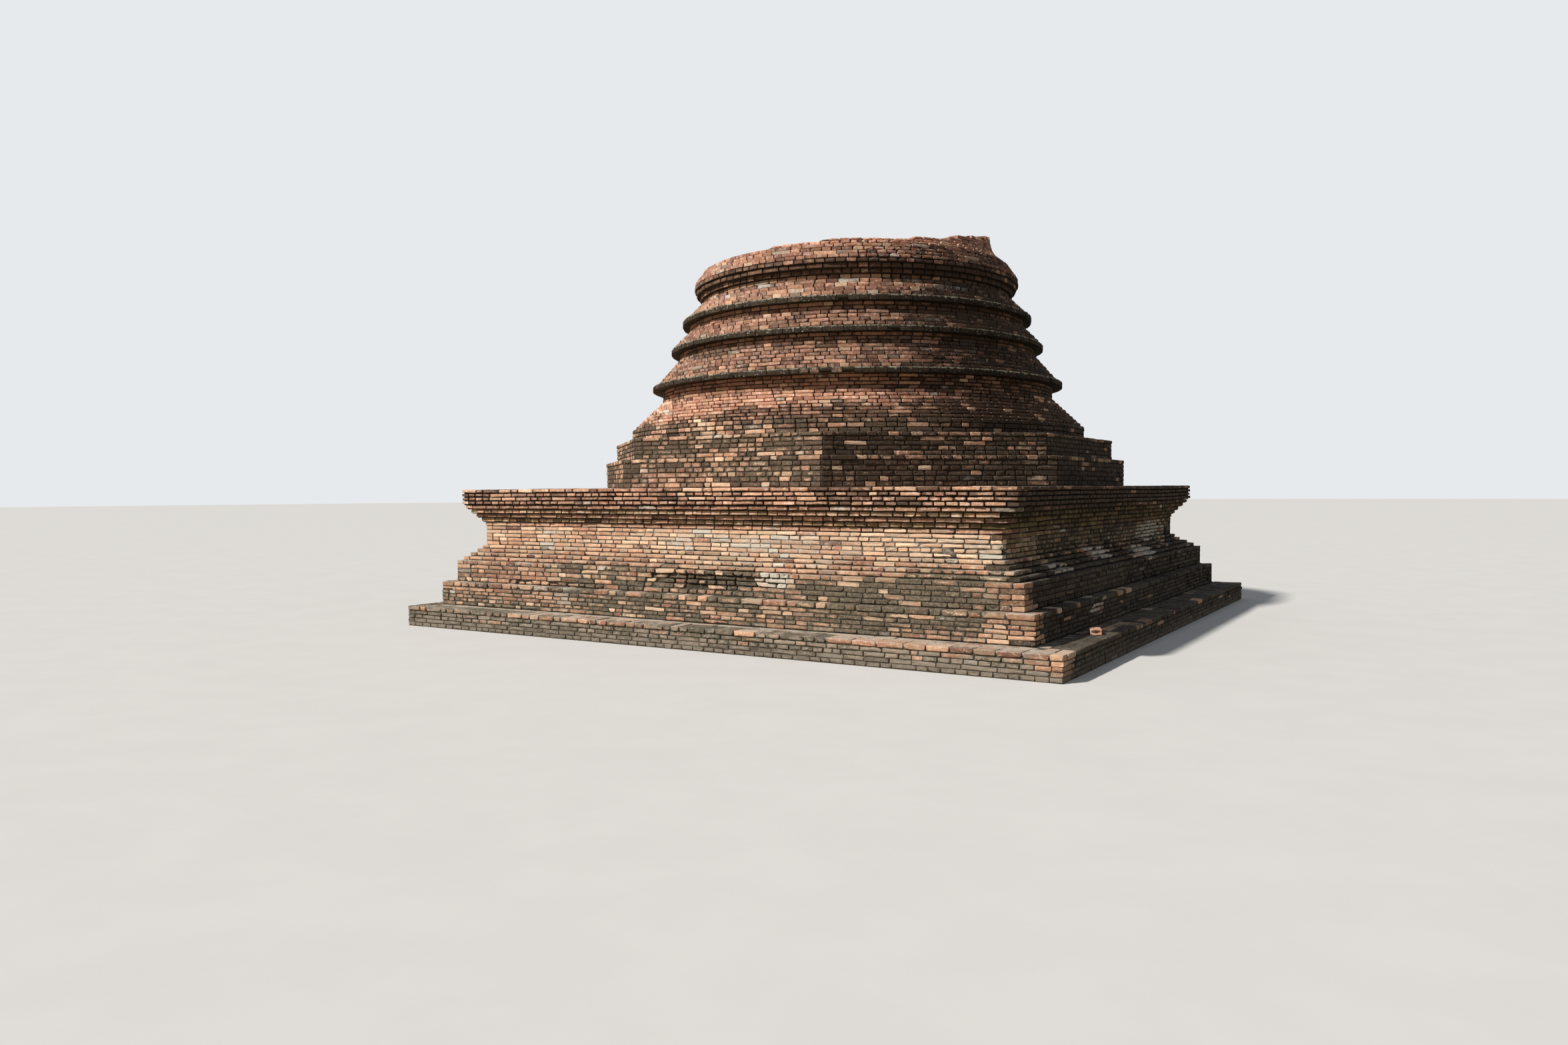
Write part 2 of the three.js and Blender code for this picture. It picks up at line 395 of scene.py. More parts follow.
def makeBrickRelief(look):
    group, given, made = newGroup(
        "brickRelief", {"Place": "place", "Pits": "value", "Flakes": "value"}, {"Height": "value"})
    place = given["Place"]
    sand = times(group, cloud(group, place, look["sandScale"], 3.0, 0.7), look["sand"])
    lumps = times(group, cloud(group, place, look["lumpScale"], 5.0, 0.62), look["lumps"])
    holes = addNode(group, "ShaderNodeTexVoronoi", {"Vector": place, "Scale": look["pitScale"]})
    pits = times(group, remap(group, holes.outputs["Distance"], 0.0, 0.42), given["Pits"])
    layers = combine(group, "MULTIPLY", place, look["flakeScale"])
    flakes = times(group, remap(group, cloud(group, layers, 1.0, 3.0, 0.5), 0.40, 0.60), given["Flakes"])
    feed(group, made["Height"], plus(group, plus(group, sand, lumps), plus(group, pits, flakes)))
    return group


def makeSoilSplash():
    group, given, made = newGroup("soilSplash", {"Place": "place", "Reach": "value"}, {"Mask": "value"})
    height = addNode(group, "ShaderNodeSeparateXYZ", {"Vector": given["Place"]}).outputs["Z"]
    wavy = times(group, minus(group, cloud(group, given["Place"], 6.0, 5.0), 0.5), 0.3)
    level = plus(group, height, times(group, wavy, given["Reach"]))
    feed(group, made["Mask"], remap(group, level, given["Reach"], 0.0))
    return group


clayFiring = makeClayFiring(clayLook)
blackCrust = makeBlackCrust(crustLook)
paleDust = makePaleDust(dustLook)
lichenSpots = makeLichenSpots(spotLook)
thinFilm = makeThinFilm()
brickRelief = makeBrickRelief(reliefLook)
soilSplash = makeSoilSplash()

# one entry for each brick finish: how the clay is mottled and what lies on it
brickFinishes = {
    "wornBrick": {
        "mottle": 0.28, "bleached": (0.64, 0.49, 0.36), "pits": 0.3, "flakes": 0.22, "bump": 0.6,
        "crustSoft": 0.12, "crustCover": 0.92, "crustTint": (1.16, 1.24, 1.22),
        "dust": (0.47, 0.405, 0.33), "tread": 0.55, "spots": 46.0, "soil": 0.16,
    },
    "redBrick": {
        "mottle": 0.24, "bleached": (0.75, 0.515, 0.43), "pits": 0.2, "flakes": 0.14, "bump": 0.45,
        "crustSoft": 0.15, "crustCover": 0.86, "crustTint": (0.70, 0.55, 0.47),
        "dust": (0.50, 0.365, 0.31), "tread": 0.16, "spots": 50.0,
    },
    "grimedBrick": {
        "mottle": 0.28, "bleached": (0.70, 0.53, 0.41), "pits": 0.3, "flakes": 0.16, "bump": 0.55,
        "crustSoft": 0.14, "crustCover": 0.92, "crustTint": (0.86, 0.80, 0.74),
        "dust": (0.40, 0.31, 0.24), "tread": 0.12, "spots": 44.0,
    },
    # a darker copy of the red brick for the necks and corbels under the rings and the lip: painted shade
    "shadedBrick": {
        "mottle": 0.24, "bleached": (0.58, 0.35, 0.24), "pits": 0.22, "flakes": 0.14, "bump": 0.4,
        "crustSoft": 0.2, "crustCover": 0.84, "crustTint": (0.62, 0.46, 0.38),
        "dust": (0.42, 0.31, 0.24), "tread": 0.1, "spots": 50.0,
    },
    "lichenBrick": {
        "mottle": 0.25, "bleached": (0.5, 0.4, 0.3), "pits": 0.4, "flakes": 0.2, "bump": 0.8,
        "crustSoft": 0.3, "crustCover": 0.96, "crustTint": (0.27, 0.26, 0.2),
        "dust": (0.30, 0.28, 0.22), "tread": 0.05, "spots": 38.0, "topEdgeLichenAndHighlight": 0.56,
    },
    "brokenBrick": {
        "mottle": 0.32, "bleached": (0.73, 0.51, 0.44), "pits": 0.4, "flakes": 0.26, "bump": 0.65,
        "crustSoft": 0.17, "crustCover": 0.86, "crustTint": (0.54, 0.43, 0.40),
        "dust": (0.48, 0.37, 0.30), "tread": 0.18, "spots": 50.0,
    },
}

# thin stains on the bricks; the pale top-edge film is also partly a painted highlight
films = {
    "greyTint": {"scale": 9.0, "cover": 0.8, "colour": (0.270, 0.243, 0.198)},
    "mossTint": {"scale": 11.0, "cover": 0.75, "colour": (0.130, 0.108, 0.042)},
    "lime": {"scale": 20.0, "cover": 0.85, "colour": (0.62, 0.59, 0.51)},
    "topEdgeLichenAndHighlight": {"scale": 24.0, "cover": 0.85, "colour": (0.42, 0.39, 0.29)},
}
soilColour = (0.20, 0.165, 0.13)


def addFilm(tree, under, place, name, amount=None):
    film = films[name]
    inputs = {"Place": place, "Amount": amount or attribute(tree, name), "Scale": film["scale"]}
    mask = useGroup(tree, thinFilm, inputs)["Mask"]
    return mixColour(tree, times(tree, mask, film["cover"]), under, film["colour"])


def addDust(tree, under, place, finish):
    dust = useGroup(tree, paleDust, {
        "Place": place, "Amount": attribute(tree, "dust"), "Tread": finish["tread"], "Tint": finish["dust"]})
    return mixColour(tree, dust["Mask"], under, dust["Colour"])


def addSoil(tree, under, place, finish):
    if "soil" not in finish:
        return under
    soil = useGroup(tree, soilSplash, {"Place": place, "Reach": finish["soil"]})["Mask"]
    return mixColour(tree, times(tree, soil, 0.6), under, soilColour)


def makeBrickMaterial(name, finish):
    material, tree, shader, place = newMaterial(name)
    # each brick reads its own part of the pattern, so that no blotch runs over a joint
    pattern = attribute(tree, "ownPattern")
    shift = addNode(tree, "ShaderNodeCombineXYZ", {"X": pattern, "Y": pattern}).outputs[0]
    own = combine(tree, "ADD", place, shift)
    colour = useGroup(tree, clayFiring, {
        "Place": own, "Tone": attribute(tree, "clayTone"), "Shade": attribute(tree, "clayLevelAndPaintedLight"),
        "Mottle": finish["mottle"], "Bleached": finish["bleached"]})["Colour"]
    colour = addFilm(tree, colour, own, "greyTint")
    colour = addFilm(tree, colour, place, "mossTint")
    colour = addDust(tree, colour, place, finish)
    colour = addFilm(tree, colour, own, "lime")
    crust = useGroup(tree, blackCrust, {
        "Place": place, "Own Place": own, "Amount": attribute(tree, "blackCrust"),
        "Edge": attribute(tree, "faceEdge"), "Softness": finish["crustSoft"], "Tint": finish["crustTint"],
        "Light": attribute(tree, "crustLight")})
    colour = mixColour(tree, times(tree, crust["Mask"], finish["crustCover"]), colour, crust["Colour"])
    if "topEdgeLichenAndHighlight" in finish:
        # the growth is palest along the top edge, where the rain runs off; this pale top edge is also partly
        # a painted highlight
        top = remap(tree, attribute(tree, "faceHeight"), -0.2, 1.0, 0.0, finish["topEdgeLichenAndHighlight"])
        colour = addFilm(tree, colour, place, "topEdgeLichenAndHighlight", top)
    spots = useGroup(tree, lichenSpots, {
        "Place": place, "Amount": attribute(tree, "lichen"), "Spots per metre": finish["spots"]})
    colour = mixColour(tree, spots["Mask"], colour, spots["Colour"])
    feed(tree, shader.inputs["Base Color"], addSoil(tree, colour, place, finish))
    feed(tree, shader.inputs["Roughness"], remap(tree, crust["Mask"], 0.0, 1.0, 0.9, 0.8))
    shader.inputs["Specular IOR Level"].default_value = 0.25
    relief = useGroup(tree, brickRelief, {
        "Place": own, "Pits": finish["pits"], "Flakes": finish["flakes"]})["Height"]
    height = plus(tree, relief, times(tree, spots["Mask"], 0.3))
    bump = addNode(tree, "ShaderNodeBump", {"Strength": finish["bump"], "Distance": 0.006, "Height": height})
    feed(tree, shader.inputs["Normal"], bump.outputs["Normal"])
    return material


# what fills the joints: dark earth, or pale lime mortar where the attribute says so
jointLook = {
    "earth": ((0.3, (0.018, 0.014, 0.011)), (0.7, (0.060, 0.044, 0.034))),
    "mortar": ((0.3, (0.28, 0.22, 0.17)), (0.7, (0.50, 0.42, 0.33))),
    "crumbScale": 48.0,
    "mortarScale": 7.0,
    "crustCover": 0.85,
    "bump": 0.6,
}


def makeJointMaterial(name, look, finish):
    material, tree, shader, place = newMaterial(name)
    crumbs = cloud(tree, place, look["crumbScale"], 5.0, 0.65)
    earth = colourRamp(tree, crumbs, look["earth"])
    mortar = colourRamp(tree, crumbs, look["mortar"])
    pale = useGroup(tree, thinFilm, {
        "Place": place, "Amount": attribute(tree, "paleJoint"), "Scale": look["mortarScale"]})["Mask"]
    colour = addDust(tree, mixColour(tree, pale, earth, mortar), place, finish)
    crust = useGroup(tree, blackCrust, {
        "Place": place, "Own Place": place, "Amount": attribute(tree, "blackCrust"), "Edge": 0.9,
        "Softness": 0.2, "Tint": finish["crustTint"], "Light": attribute(tree, "crustLight")})
    colour = mixColour(tree, times(tree, crust["Mask"], look["crustCover"]), colour, crust["Colour"])
    feed(tree, shader.inputs["Base Color"], addSoil(tree, colour, place, finish))
    feed(tree, shader.inputs["Roughness"], remap(tree, crumbs, 0.2, 0.8, 0.98, 0.86))
    shader.inputs["Specular IOR Level"].default_value = 0.2
    height = useGroup(tree, brickRelief, {"Place": place, "Pits": 0.5, "Flakes": 0.2})["Height"]
    bump = addNode(tree, "ShaderNodeBump", {"Strength": look["bump"], "Distance": 0.008, "Height": height})
    feed(tree, shader.inputs["Normal"], bump.outputs["Normal"])
    return material


materials = {}
jointFills = {}
for name, finish in brickFinishes.items():
    materials[name] = makeBrickMaterial(name, finish)
    jointFills[name] = makeJointMaterial(name + "Joints", jointLook, finish)
print("materials are made:", ", ".join(materials))


def makeFloorMaterial(light):
    material, tree, shader, place = newMaterial("paleFloor")
    tint = remap(tree, cloud(tree, place, 1.6, 6.0, 0.6), 0.3, 0.7, 0.985, 1.015)
    # the floor looks pale, but throws no more light back than the ground round the ruin would
    seen = addNode(tree, "ShaderNodeLightPath").outputs["Is Camera Ray"]
    colour = mixColour(tree, seen, light["bounceColour"], light["floorColour"])
    feed(tree, shader.inputs["Base Color"], brighten(tree, colour, tint))
    shader.inputs["Roughness"].default_value = 0.9
    shader.inputs["Specular IOR Level"].default_value = 0.1
    return material


def makeFloor(light):
    mesh = bpy.data.meshes.new("floor")
    shape = bmesh.new()
    bmesh.ops.create_circle(shape, cap_ends=True, segments=96, radius=light["floorRadius"])
    shape.to_mesh(mesh)
    shape.free()
    mesh.materials.append(makeFloorMaterial(light))
    floor = bpy.data.objects.new("floor", mesh)
    scene.collection.objects.link(floor)
    floor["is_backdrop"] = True


makeFloor(studio)


# smooth repeatable noise from 0 to 1, for what changes from place to place in the masonry
def latticeValue(x, y, z, seed):
    mixed = (x * 374761393 + y * 668265263 + z * 1440662683 + seed * 974634777) & 0xFFFFFFFF
    mixed = ((mixed ^ (mixed >> 13)) * 1274126177) & 0xFFFFFFFF
    return ((mixed ^ (mixed >> 16)) & 0xFFFF) / 65535.0


def patchNoise(points, size, seed):
    scaled = np.asarray(points) / size + 500.0
    corner = np.floor(scaled).astype(np.int64)
    part = scaled - corner
    part = part * part * (3 - 2 * part)
    total = np.zeros(len(scaled))
    for step in np.ndindex(2, 2, 2):
        weight = np.prod(np.where(step, part, 1 - part), axis=1)
        total += weight * latticeValue(*(corner + step).T, seed)
    return total


def blotches(points, size, seed):
    points = np.asarray(points) * (1.0, 1.0, 3.2)
    wide = patchNoise(points, size, seed)
    middle = patchNoise(points, size / 2.3, seed + 1)
    return 0.55 * wide + 0.3 * middle + 0.15 * patchNoise(points, size / 5, seed + 2)


# the courses have settled: no line is quite straight, and the higher ones wander more
settling = {"sideways": 0.007, "upDown": 0.009, "waveLength": 1.7}


def settle(points):
    share = np.clip(points[:, 2:3] / 0.5, 0, 1) * (0.7 + 0.14 * points[:, 2:3])
    waves = [patchNoise(points, settling["waveLength"], seed) - 0.5 for seed in (11, 12, 13)]
    reach = (settling["sideways"], settling["sideways"], settling["upDown"])
    return points + np.stack(waves, axis=1) * 2 * share * reach


# brick sizes of this site and the gaps between bricks, in metres
brickSizes = {
    "stretcher": 0.242,
    "header": 0.121,
    "stretcherDepth": 0.114,
    "headerDepth": 0.234,
    "thickness": 0.045,
    "buriedDepth": 0.15,
    "upright": 0.0090,
    "bed": 0.0068,
}

# how far a brick is from a true block: when fresh, and how much more when it is all worn
brickFlaws = {
    "lean": (0.006, 0.016),
    "chippedCorners": (0.03, 0.2),
    "chipLength": (0.007, 0.02),
    "endLoss": (1, 2),
    "heightLoss": (1, 2.5),
    "rimDent": (0.0009, 0.0035),
    "middleDent": (0.0010, 0.003),
    "outOfLine": (0.0023, 0.004),
    "outOfRound": (0.0026, 0.008),
    "lost": (0.0012, 0.07),
}


def flaw(name, wear):
    fresh, more = brickFlaws[name]
    return fresh + more * wear


# one brick: a fan on its face, a worn edge round it, its sides and a back
outlineU = np.array([-1, -0.36, 0.36, 1, 1, 1, 0.36, -0.36, -1, -1.0])
outlineV = np.array([-1, -1, -1, -1, 0, 1, 1, 1, 1, 0.0])
edgeU = np.where(np.abs(outlineU) == 1, outlineU, 0)
outlinePoints = len(outlineU)
brickVertices = 3 * outlinePoints + 1
facePoints = np.arange(outlinePoints)
nextPoints = (facePoints + 1) % outlinePoints


def brickPlan():
    front = np.stack([np.zeros_like(facePoints), 1 + facePoints, 1 + nextPoints], axis=1)
    outer = outlinePoints + facePoints
    worn = 1 + np.stack([facePoints, outer, outlinePoints + nextPoints, nextPoints], axis=1)
    sides = worn + outlinePoints
    back = (1 + outlinePoints + outer)[::-1]
    # where each corner of each face lies in the brick's own cell of the bake map
    flat = np.stack([outlineU, outlineV], axis=1)
    middle = np.array([0.5, 0.56])
    cells = [middle + flat * size for size in ((0.38, 0.3), (0.425, 0.36), (0.485, 0.42))]
    loops = np.concatenate([front.ravel(), worn.ravel(), sides.ravel(), back])
    spread = np.concatenate([[middle], *cells])[loops]
    spread[-outlinePoints:] = (0.5, 0.06) + flat[::-1] * (0.45, 0.045)
    return {
        "loops": loops,
        "sizes": np.array([3] * outlinePoints + [4] * 2 * outlinePoints + [outlinePoints]),
        "map": spread,
        "smooth": np.array([False] * outlinePoints + [True] * outlinePoints + [False] * (outlinePoints + 1)),
    }


plan = brickPlan()
# how near each corner of a brick is to the rim of its face, and whether it is at its top or foot
faceEdge = np.concatenate([[0], np.full(outlinePoints, 0.85), np.ones(2 * outlinePoints)])
faceHeight = np.concatenate([[0], outlineV, outlineV, outlineV])


# what one tier gathers while its bricks are laid
def newWork(seed, wear, uneven=0.035, bed=brickSizes["bed"], upright=brickSizes["upright"], rounding=0.0):
    return {
        "parts": [], "bodies": [], "cornerDepth": {}, "rng": np.random.default_rng(seed), "wear": wear,
        "uneven": uneven, "bed": bed, "upright": upright, "rounding": rounding, "grime": 0.0, "grey": 0.0,
    }


def addBricks(work, centre, along, outward, length, height, depth, wear, proud, pinch=0.0, clean=0.0):
    count = len(centre)
    row = {}
    for name, value in (("centre", centre), ("along", along), ("outward", outward)):
        row[name] = np.broadcast_to(np.asarray(value, float), (count, 3))
    given = {"length": length, "height": height, "depth": depth, "wear": wear, "proud": proud, "clean": clean}
    for name in ("grime", "grey", "rounding"):
        given[name] = work[name]
    for name, value in given.items():
        row[name] = np.broadcast_to(np.asarray(value, float), (count,)).copy()
    pinch = np.asarray(pinch, float)
    if pinch.ndim < 2:
        pinch = np.repeat(np.broadcast_to(pinch, (count,))[:, None], 2, axis=1)
    row["pinch"] = pinch
    work["parts"].append(row)


# worn places: a middle, how far they reach, how worn the bricks are and how far they sit back
wornPlaces = (
    {"at": (0.18, -3.60, 0.655), "reach": (1.15, 0.5, 0.17), "wear": 0.45, "back": 0.058},
    {"at": (3.20, 2.25, 1.04), "reach": (0.5, 1.3, 0.22), "wear": 1.0, "back": 0.052},
    {"at": (2.7, -3.29, 1.06), "reach": (1.1, 0.35, 0.2), "wear": 0.34, "back": 0.003},
    {"at": (3.45, 1.6, 0.66), "reach": (0.6, 2.6, 0.42), "wear": 0.8, "back": 0.016},
    {"at": (3.42, -0.9, 0.88), "reach": (0.6, 2.3, 0.22), "wear": 0.9, "back": 0.014},
    {"at": (3.60, 2.9, 0.40), "reach": (0.6, 1.4, 0.3), "wear": 0.8, "back": 0.022},
    {"at": (-1.9, -3.75, 0.50), "reach": (1.3, 0.4, 0.09), "wear": 0.8, "back": 0.014},
    {"at": (-0.6, 3.5, 0.9), "reach": (1.8, 0.6, 0.3), "wear": 0.7, "back": 0.03},
    {"at": (-3.5, 1.2, 0.6), "reach": (0.6, 1.5, 0.25), "wear": 0.7, "back": 0.025},
    {"at": (1.5, -1.7, 4.5), "reach": (1.4, 1.3, 0.55), "wear": 0.5, "back": 0.0},
    {"at": (0.9, -2.2, 3.55), "reach": (1.0, 1.0, 0.2), "wear": 0.35, "back": 0.0},
)


def nearness(points, place):
    away = (np.asarray(points) - place["at"]) / place["reach"]
    near = np.clip(1 - np.linalg.norm(away, axis=1), 0, 1)
    return near * near * (3 - 2 * near)


def wearAt(points):
    wear = np.zeros(len(points))
    back = np.zeros(len(points))
    for place in wornPlaces:
        near = nearness(points, place)
        wear = np.maximum(wear, place["wear"] * np.minimum(1, 1.8 * near))
        back = back + place["back"] * np.minimum(1, 1.6 * near)
    return wear, back


def brickCorners(bricks, rng):
    count = len(bricks["centre"])
    wear = bricks["wear"][:, None]
    along = bricks["along"]
    outward = bricks["outward"]
    up = np.cross(outward, along)
    # a little out of true, more where the brickwork is worn
    lean = rng.normal(0, 1, (count, 3)) * flaw("lean", wear)
    along = along + lean[:, :1] * up + lean[:, 1:2] * outward
    up = up + lean[:, 2:3] * outward - lean[:, :1] * bricks["along"]
    outward = np.cross(along, up)
    halfLength = bricks["length"][:, None] / 2
    halfHeight = bricks["height"][:, None] / 2
    shape = (count, outlinePoints)
    # the places across and up the face, with uneven ends
    across = outlineU * halfLength
    rise = outlineV * halfHeight
    across = across + np.where(edgeU == 0, rng.uniform(-0.13, 0.13, shape) * halfLength, 0)
    across = across - edgeU * rng.uniform(0, 0.0030, shape) * flaw("endLoss", wear)
    rise = rise - outlineV * rng.uniform(0, 0.0018, shape) * flaw("heightLoss", wear)
    # some corners are knocked off
    corner = (np.abs(edgeU) == 1) & (np.abs(outlineV) == 1)
    chipped = corner & (rng.random(shape) < flaw("chippedCorners", wear))
    bite = rng.uniform(0.2, 1.0, shape)
    across = across - np.where(chipped, edgeU * bite * flaw("chipLength", wear), 0)
    rise = rise - np.where(chipped, outlineV * bite * 0.27 * halfHeight, 0)
    rounding = bricks["rounding"][:, None]
    across = across - np.where(corner, edgeU * (0.0012 + 0.8 * rounding), 0)
    # the worn edge between the face and the sides
    edge = rng.uniform(0.0011, 0.0030, (count, 1)) + 0.0055 * wear + rounding
    edge = np.minimum(edge * rng.uniform(0.8, 1.3, shape), 0.33 * halfHeight)
    rimDent = -np.abs(rng.normal(0, 1, shape)) * flaw("rimDent", wear)
    middleDent = rng.normal(0, 1, (count, 1)) * flaw("middleDent", wear)
    back = bricks["depth"][:, None]
    pinch = np.where(outlineU < 0, bricks["pinch"][:, :1], bricks["pinch"][:, 1:2])
    zero = np.zeros((count, 1))
    backAcross = outlineU * halfLength - edgeU * pinch * back
    localU = np.concatenate([zero, across - edgeU * edge, across, backAcross], axis=1)
    localV = np.concatenate([zero, rise - outlineV * edge, rise, outlineV * halfHeight], axis=1)
    localW = np.concatenate(
        [middleDent, rimDent, -edge + 0.4 * rimDent, -np.repeat(back, outlinePoints, 1)], axis=1)
    start = bricks["centre"] + bricks["proud"][:, None] * bricks["outward"]
    places = start[:, None] + localU[..., None] * along[:, None] + localV[..., None] * up[:, None]
    return (places + localW[..., None] * outward[:, None]).reshape(-1, 3)


# the middle of the round body
axis = np.array([-0.096, 0.009])


# the sides that get little sun are dark with growth, most of all round one bearing; the same share also
# darkens their clay and crust as painted shade
shadedSide = {"bearing": math.radians(35), "reach": math.radians(104), "softness": math.radians(52)}


# 0 on the sunny sides, 1 on the shaded ones
def shadedShare(bearing):
    turn = np.abs((bearing - shadedSide["bearing"] + math.pi) % (2 * math.pi) - math.pi)
    share = np.clip((shadedSide["reach"] - turn) / shadedSide["softness"], 0, 1)
    return share * share * (3 - 2 * share)


def either(pair, share):
    sunny, shaded = pair if isinstance(pair, tuple) else (pair, pair)
    return sunny + (shaded - sunny) * share


# the paint of a tier where its own entry says nothing; a pair is for the sunny and the shaded sides
commonPaint = {
    "spread": 0.1,
    "grey": 0.03,
    "brown": 0.03,
    "patchy": 0.5,
    "blackCrust": 0.1,
    "dust": 0.1,
    "mossTint": 0.0,
    "lime": 0.0,
    "lichen": 0.05,
    "greyTint": 0.12,
    # the clay's brightness level: above 1 on the sunny side it is painted light, below 1 on the shaded side
    # it is painted shade
    "shade": 1.0,
    "bare": 0.1,
    "bareTone": 0.06,
    "limed": 0.003,
}
commonJoints = {"pale": 0.0, "crust": 0.1, "light": 0.8}

# how much single bricks differ from their neighbours
brickSpread = {"clayLevelAndPaintedLight": 0.17, "crustLight": 0.12, "blackCrust": 0.08, "dust": 0.06, "mossTint": 0.06,
               "lime": 0.1, "lichen": 0.08, "greyTint": 0.12}

# single places that differ from the rest of their tier
paintedPlaces = (
    {"at": (0.9, -2.52, 2.90), "reach": (0.55, 0.5, 0.12), "lime": 0.35, "blackCrust": -0.35},
    {"at": (3.32, 2.2, 1.05), "reach": (0.4, 1.5, 0.25), "lime": 0.7, "blackCrust": -0.3},
    {"at": (3.5, 1.0, 0.85), "reach": (0.4, 0.9, 0.2), "lime": 0.75, "blackCrust": -0.6},
    {"at": (3.66, -1.9, 0.45), "reach": (0.25, 0.5, 0.16), "lime": 0.6, "blackCrust": -0.5},
    # painted shade: these two places thicken the crust on the shaded side of the steps and paint it darker
    {"at": (3.55, -2.7, 0.55), "reach": (0.4, 1.3, 0.45), "blackCrust": 0.25, "crustLight": -0.16},
    {"at": (3.55, 0.9, 0.6), "reach": (0.4, 1.6, 0.4), "blackCrust": 0.2, "crustLight": -0.12},
    {"at": (3.4, -0.6, 0.9), "reach": (0.4, 0.7, 0.14), "lime": 0.8, "blackCrust": -0.7},
    {"at": (3.45, -2.3, 0.84), "reach": (0.3, 0.5, 0.1), "lime": 0.8, "blackCrust": -0.7},
    {"at": (3.5, 0.4, 0.66), "reach": (0.3, 0.4, 0.12), "lime": 0.7, "blackCrust": -0.6},
    {"at": (3.29, -2.9, 1.08), "reach": (0.2, 0.9, 0.3), "blackCrust": -0.5, "greyTint": -0.3,
     "clayTone": 0.04},
    {"at": (0.18, -3.60, 0.64), "reach": (1.2, 0.4, 0.2), "blackCrust": -0.04, "lime": 0.12},
    # painted shade: the worn hollow of the third step gets heavier crust painted darker, with less dust
    {"at": (0.08, -3.60, 0.67), "reach": (0.8, 0.4, 0.13), "blackCrust": 0.34, "crustLight": -0.3,
     "dust": -0.2},
    {"at": (0.3, -3.45, 0.87), "reach": (1.3, 0.4, 0.12), "clayTone": 0.14, "blackCrust": -0.3, "lime": 0.14},
    {"at": (0.95, -3.58, 0.70), "reach": (0.35, 0.4, 0.12), "lime": 0.6, "blackCrust": -0.4},
    {"at": (-1.35, -1.5, 4.15), "reach": (1.1, 0.9, 0.12), "mossTint": 0.35, "blackCrust": -0.2},
    {"at": (3.55, -3.75, 0.55), "reach": (0.5, 0.6, 0.5), "blackCrust": -0.58, "greyTint": -0.3,
     "clayTone": 0.05},
    {"at": (2.5, -3.6, 0.55), "reach": (1.3, 0.6, 0.34), "blackCrust": 0.46, "dust": -0.1},
    {"at": (4.0, -4.05, 0.12), "reach": (0.3, 0.35, 0.14), "blackCrust": -0.6, "dust": -0.3, "greyTint": -0.8,
     "clayTone": 0.08},
    {"at": (2.9, -4.05, 0.22), "reach": (1.5, 0.25, 0.05), "blackCrust": -0.4, "greyTint": -0.5,
     "dust": -0.2},
    {"at": (-3.0, -3.6, 0.62), "reach": (2.1, 0.7, 0.5), "blackCrust": -0.36, "greyTint": -0.1},
    {"at": (-3.6, -2.6, 0.62), "reach": (0.7, 1.3, 0.5), "blackCrust": -0.3, "greyTint": -0.1},
    {"at": (-1.2, -4.0, 0.225), "reach": (1.5, 0.35, 0.05), "blackCrust": -0.2, "greyTint": -0.3,
     "dust": -0.2, "clayTone": 0.04},
    {"at": (-2.6, -3.3, 0.95), "reach": (1.6, 0.6, 0.2), "blackCrust": -0.2},
    {"at": (-1.0, -3.0, 1.85), "reach": (1.6, 0.7, 0.35), "blackCrust": -0.15, "dust": 0.1},
    {"at": (2.1, -3.92, 0.24), "reach": (1.0, 0.16, 0.05), "lime": 0.5},
    {"at": (-2.8, -3.85, 0.24), "reach": (2.6, 0.3, 0.05), "lime": 0.2, "dust": 0.2},
    {"at": (2.5, -3.29, 1.06), "reach": (1.5, 0.4, 0.25), "clayTone": 0.14, "greyTint": -0.1, "dust": 0.1},
    {"at": (0.9, -3.29, 1.02), "reach": (1.3, 0.4, 0.14), "clayTone": -0.06, "dust": 0.3, "lime": 0.2},
    {"at": (-0.2, -3.29, 1.06), "reach": (1.3, 0.4, 0.18), "clayTone": 0.12, "lime": 0.38, "dust": 0.1},
    {"at": (-1.9, -3.29, 1.00), "reach": (0.9, 0.4, 0.12), "clayTone": 0.1, "lime": 0.16},
    {"at": (1.3, -3.29, 1.14), "reach": (1.1, 0.4, 0.09), "clayTone": -0.04, "lime": 0.28},
)


# what lies on the masonry at each place, for bricks and joints alike
def placePaint(points, bearing, paint):
    shaded = shadedShare(bearing)
    patch = blotches(points, 0.9, 31) - 0.5
    values = {
        "clayTone": paint["tone"] + 0.16 * (blotches(points, 0.6, 91) - 0.5),
        # painted light and shade: the clay's brightness and the crust's lightness follow each side's share of
        # shade
        "clayLevelAndPaintedLight": either(paint["shade"], shaded),
        "crustLight": 1 - 0.58 * np.minimum(1, 1.7 * shaded),
        "blackCrust": either(paint["blackCrust"], shaded) + paint["patchy"] * patch,
        "dust": either(paint["dust"], shaded) + 0.4 * patch,
        "mossTint": either(paint["mossTint"], shaded),
        "lime": either(paint["lime"], shaded) + 0.3 * (blotches(points, 0.5, 71) - 0.5),
        "lichen": either(paint["lichen"], shaded),
        "greyTint": either(paint["greyTint"], shaded),
    }
    for place in paintedPlaces:
        near = np.minimum(1, 1.7 * nearness(points, place))
        for name in values:
            if name in place:
                values[name] = values[name] + place[name] * near
    return values


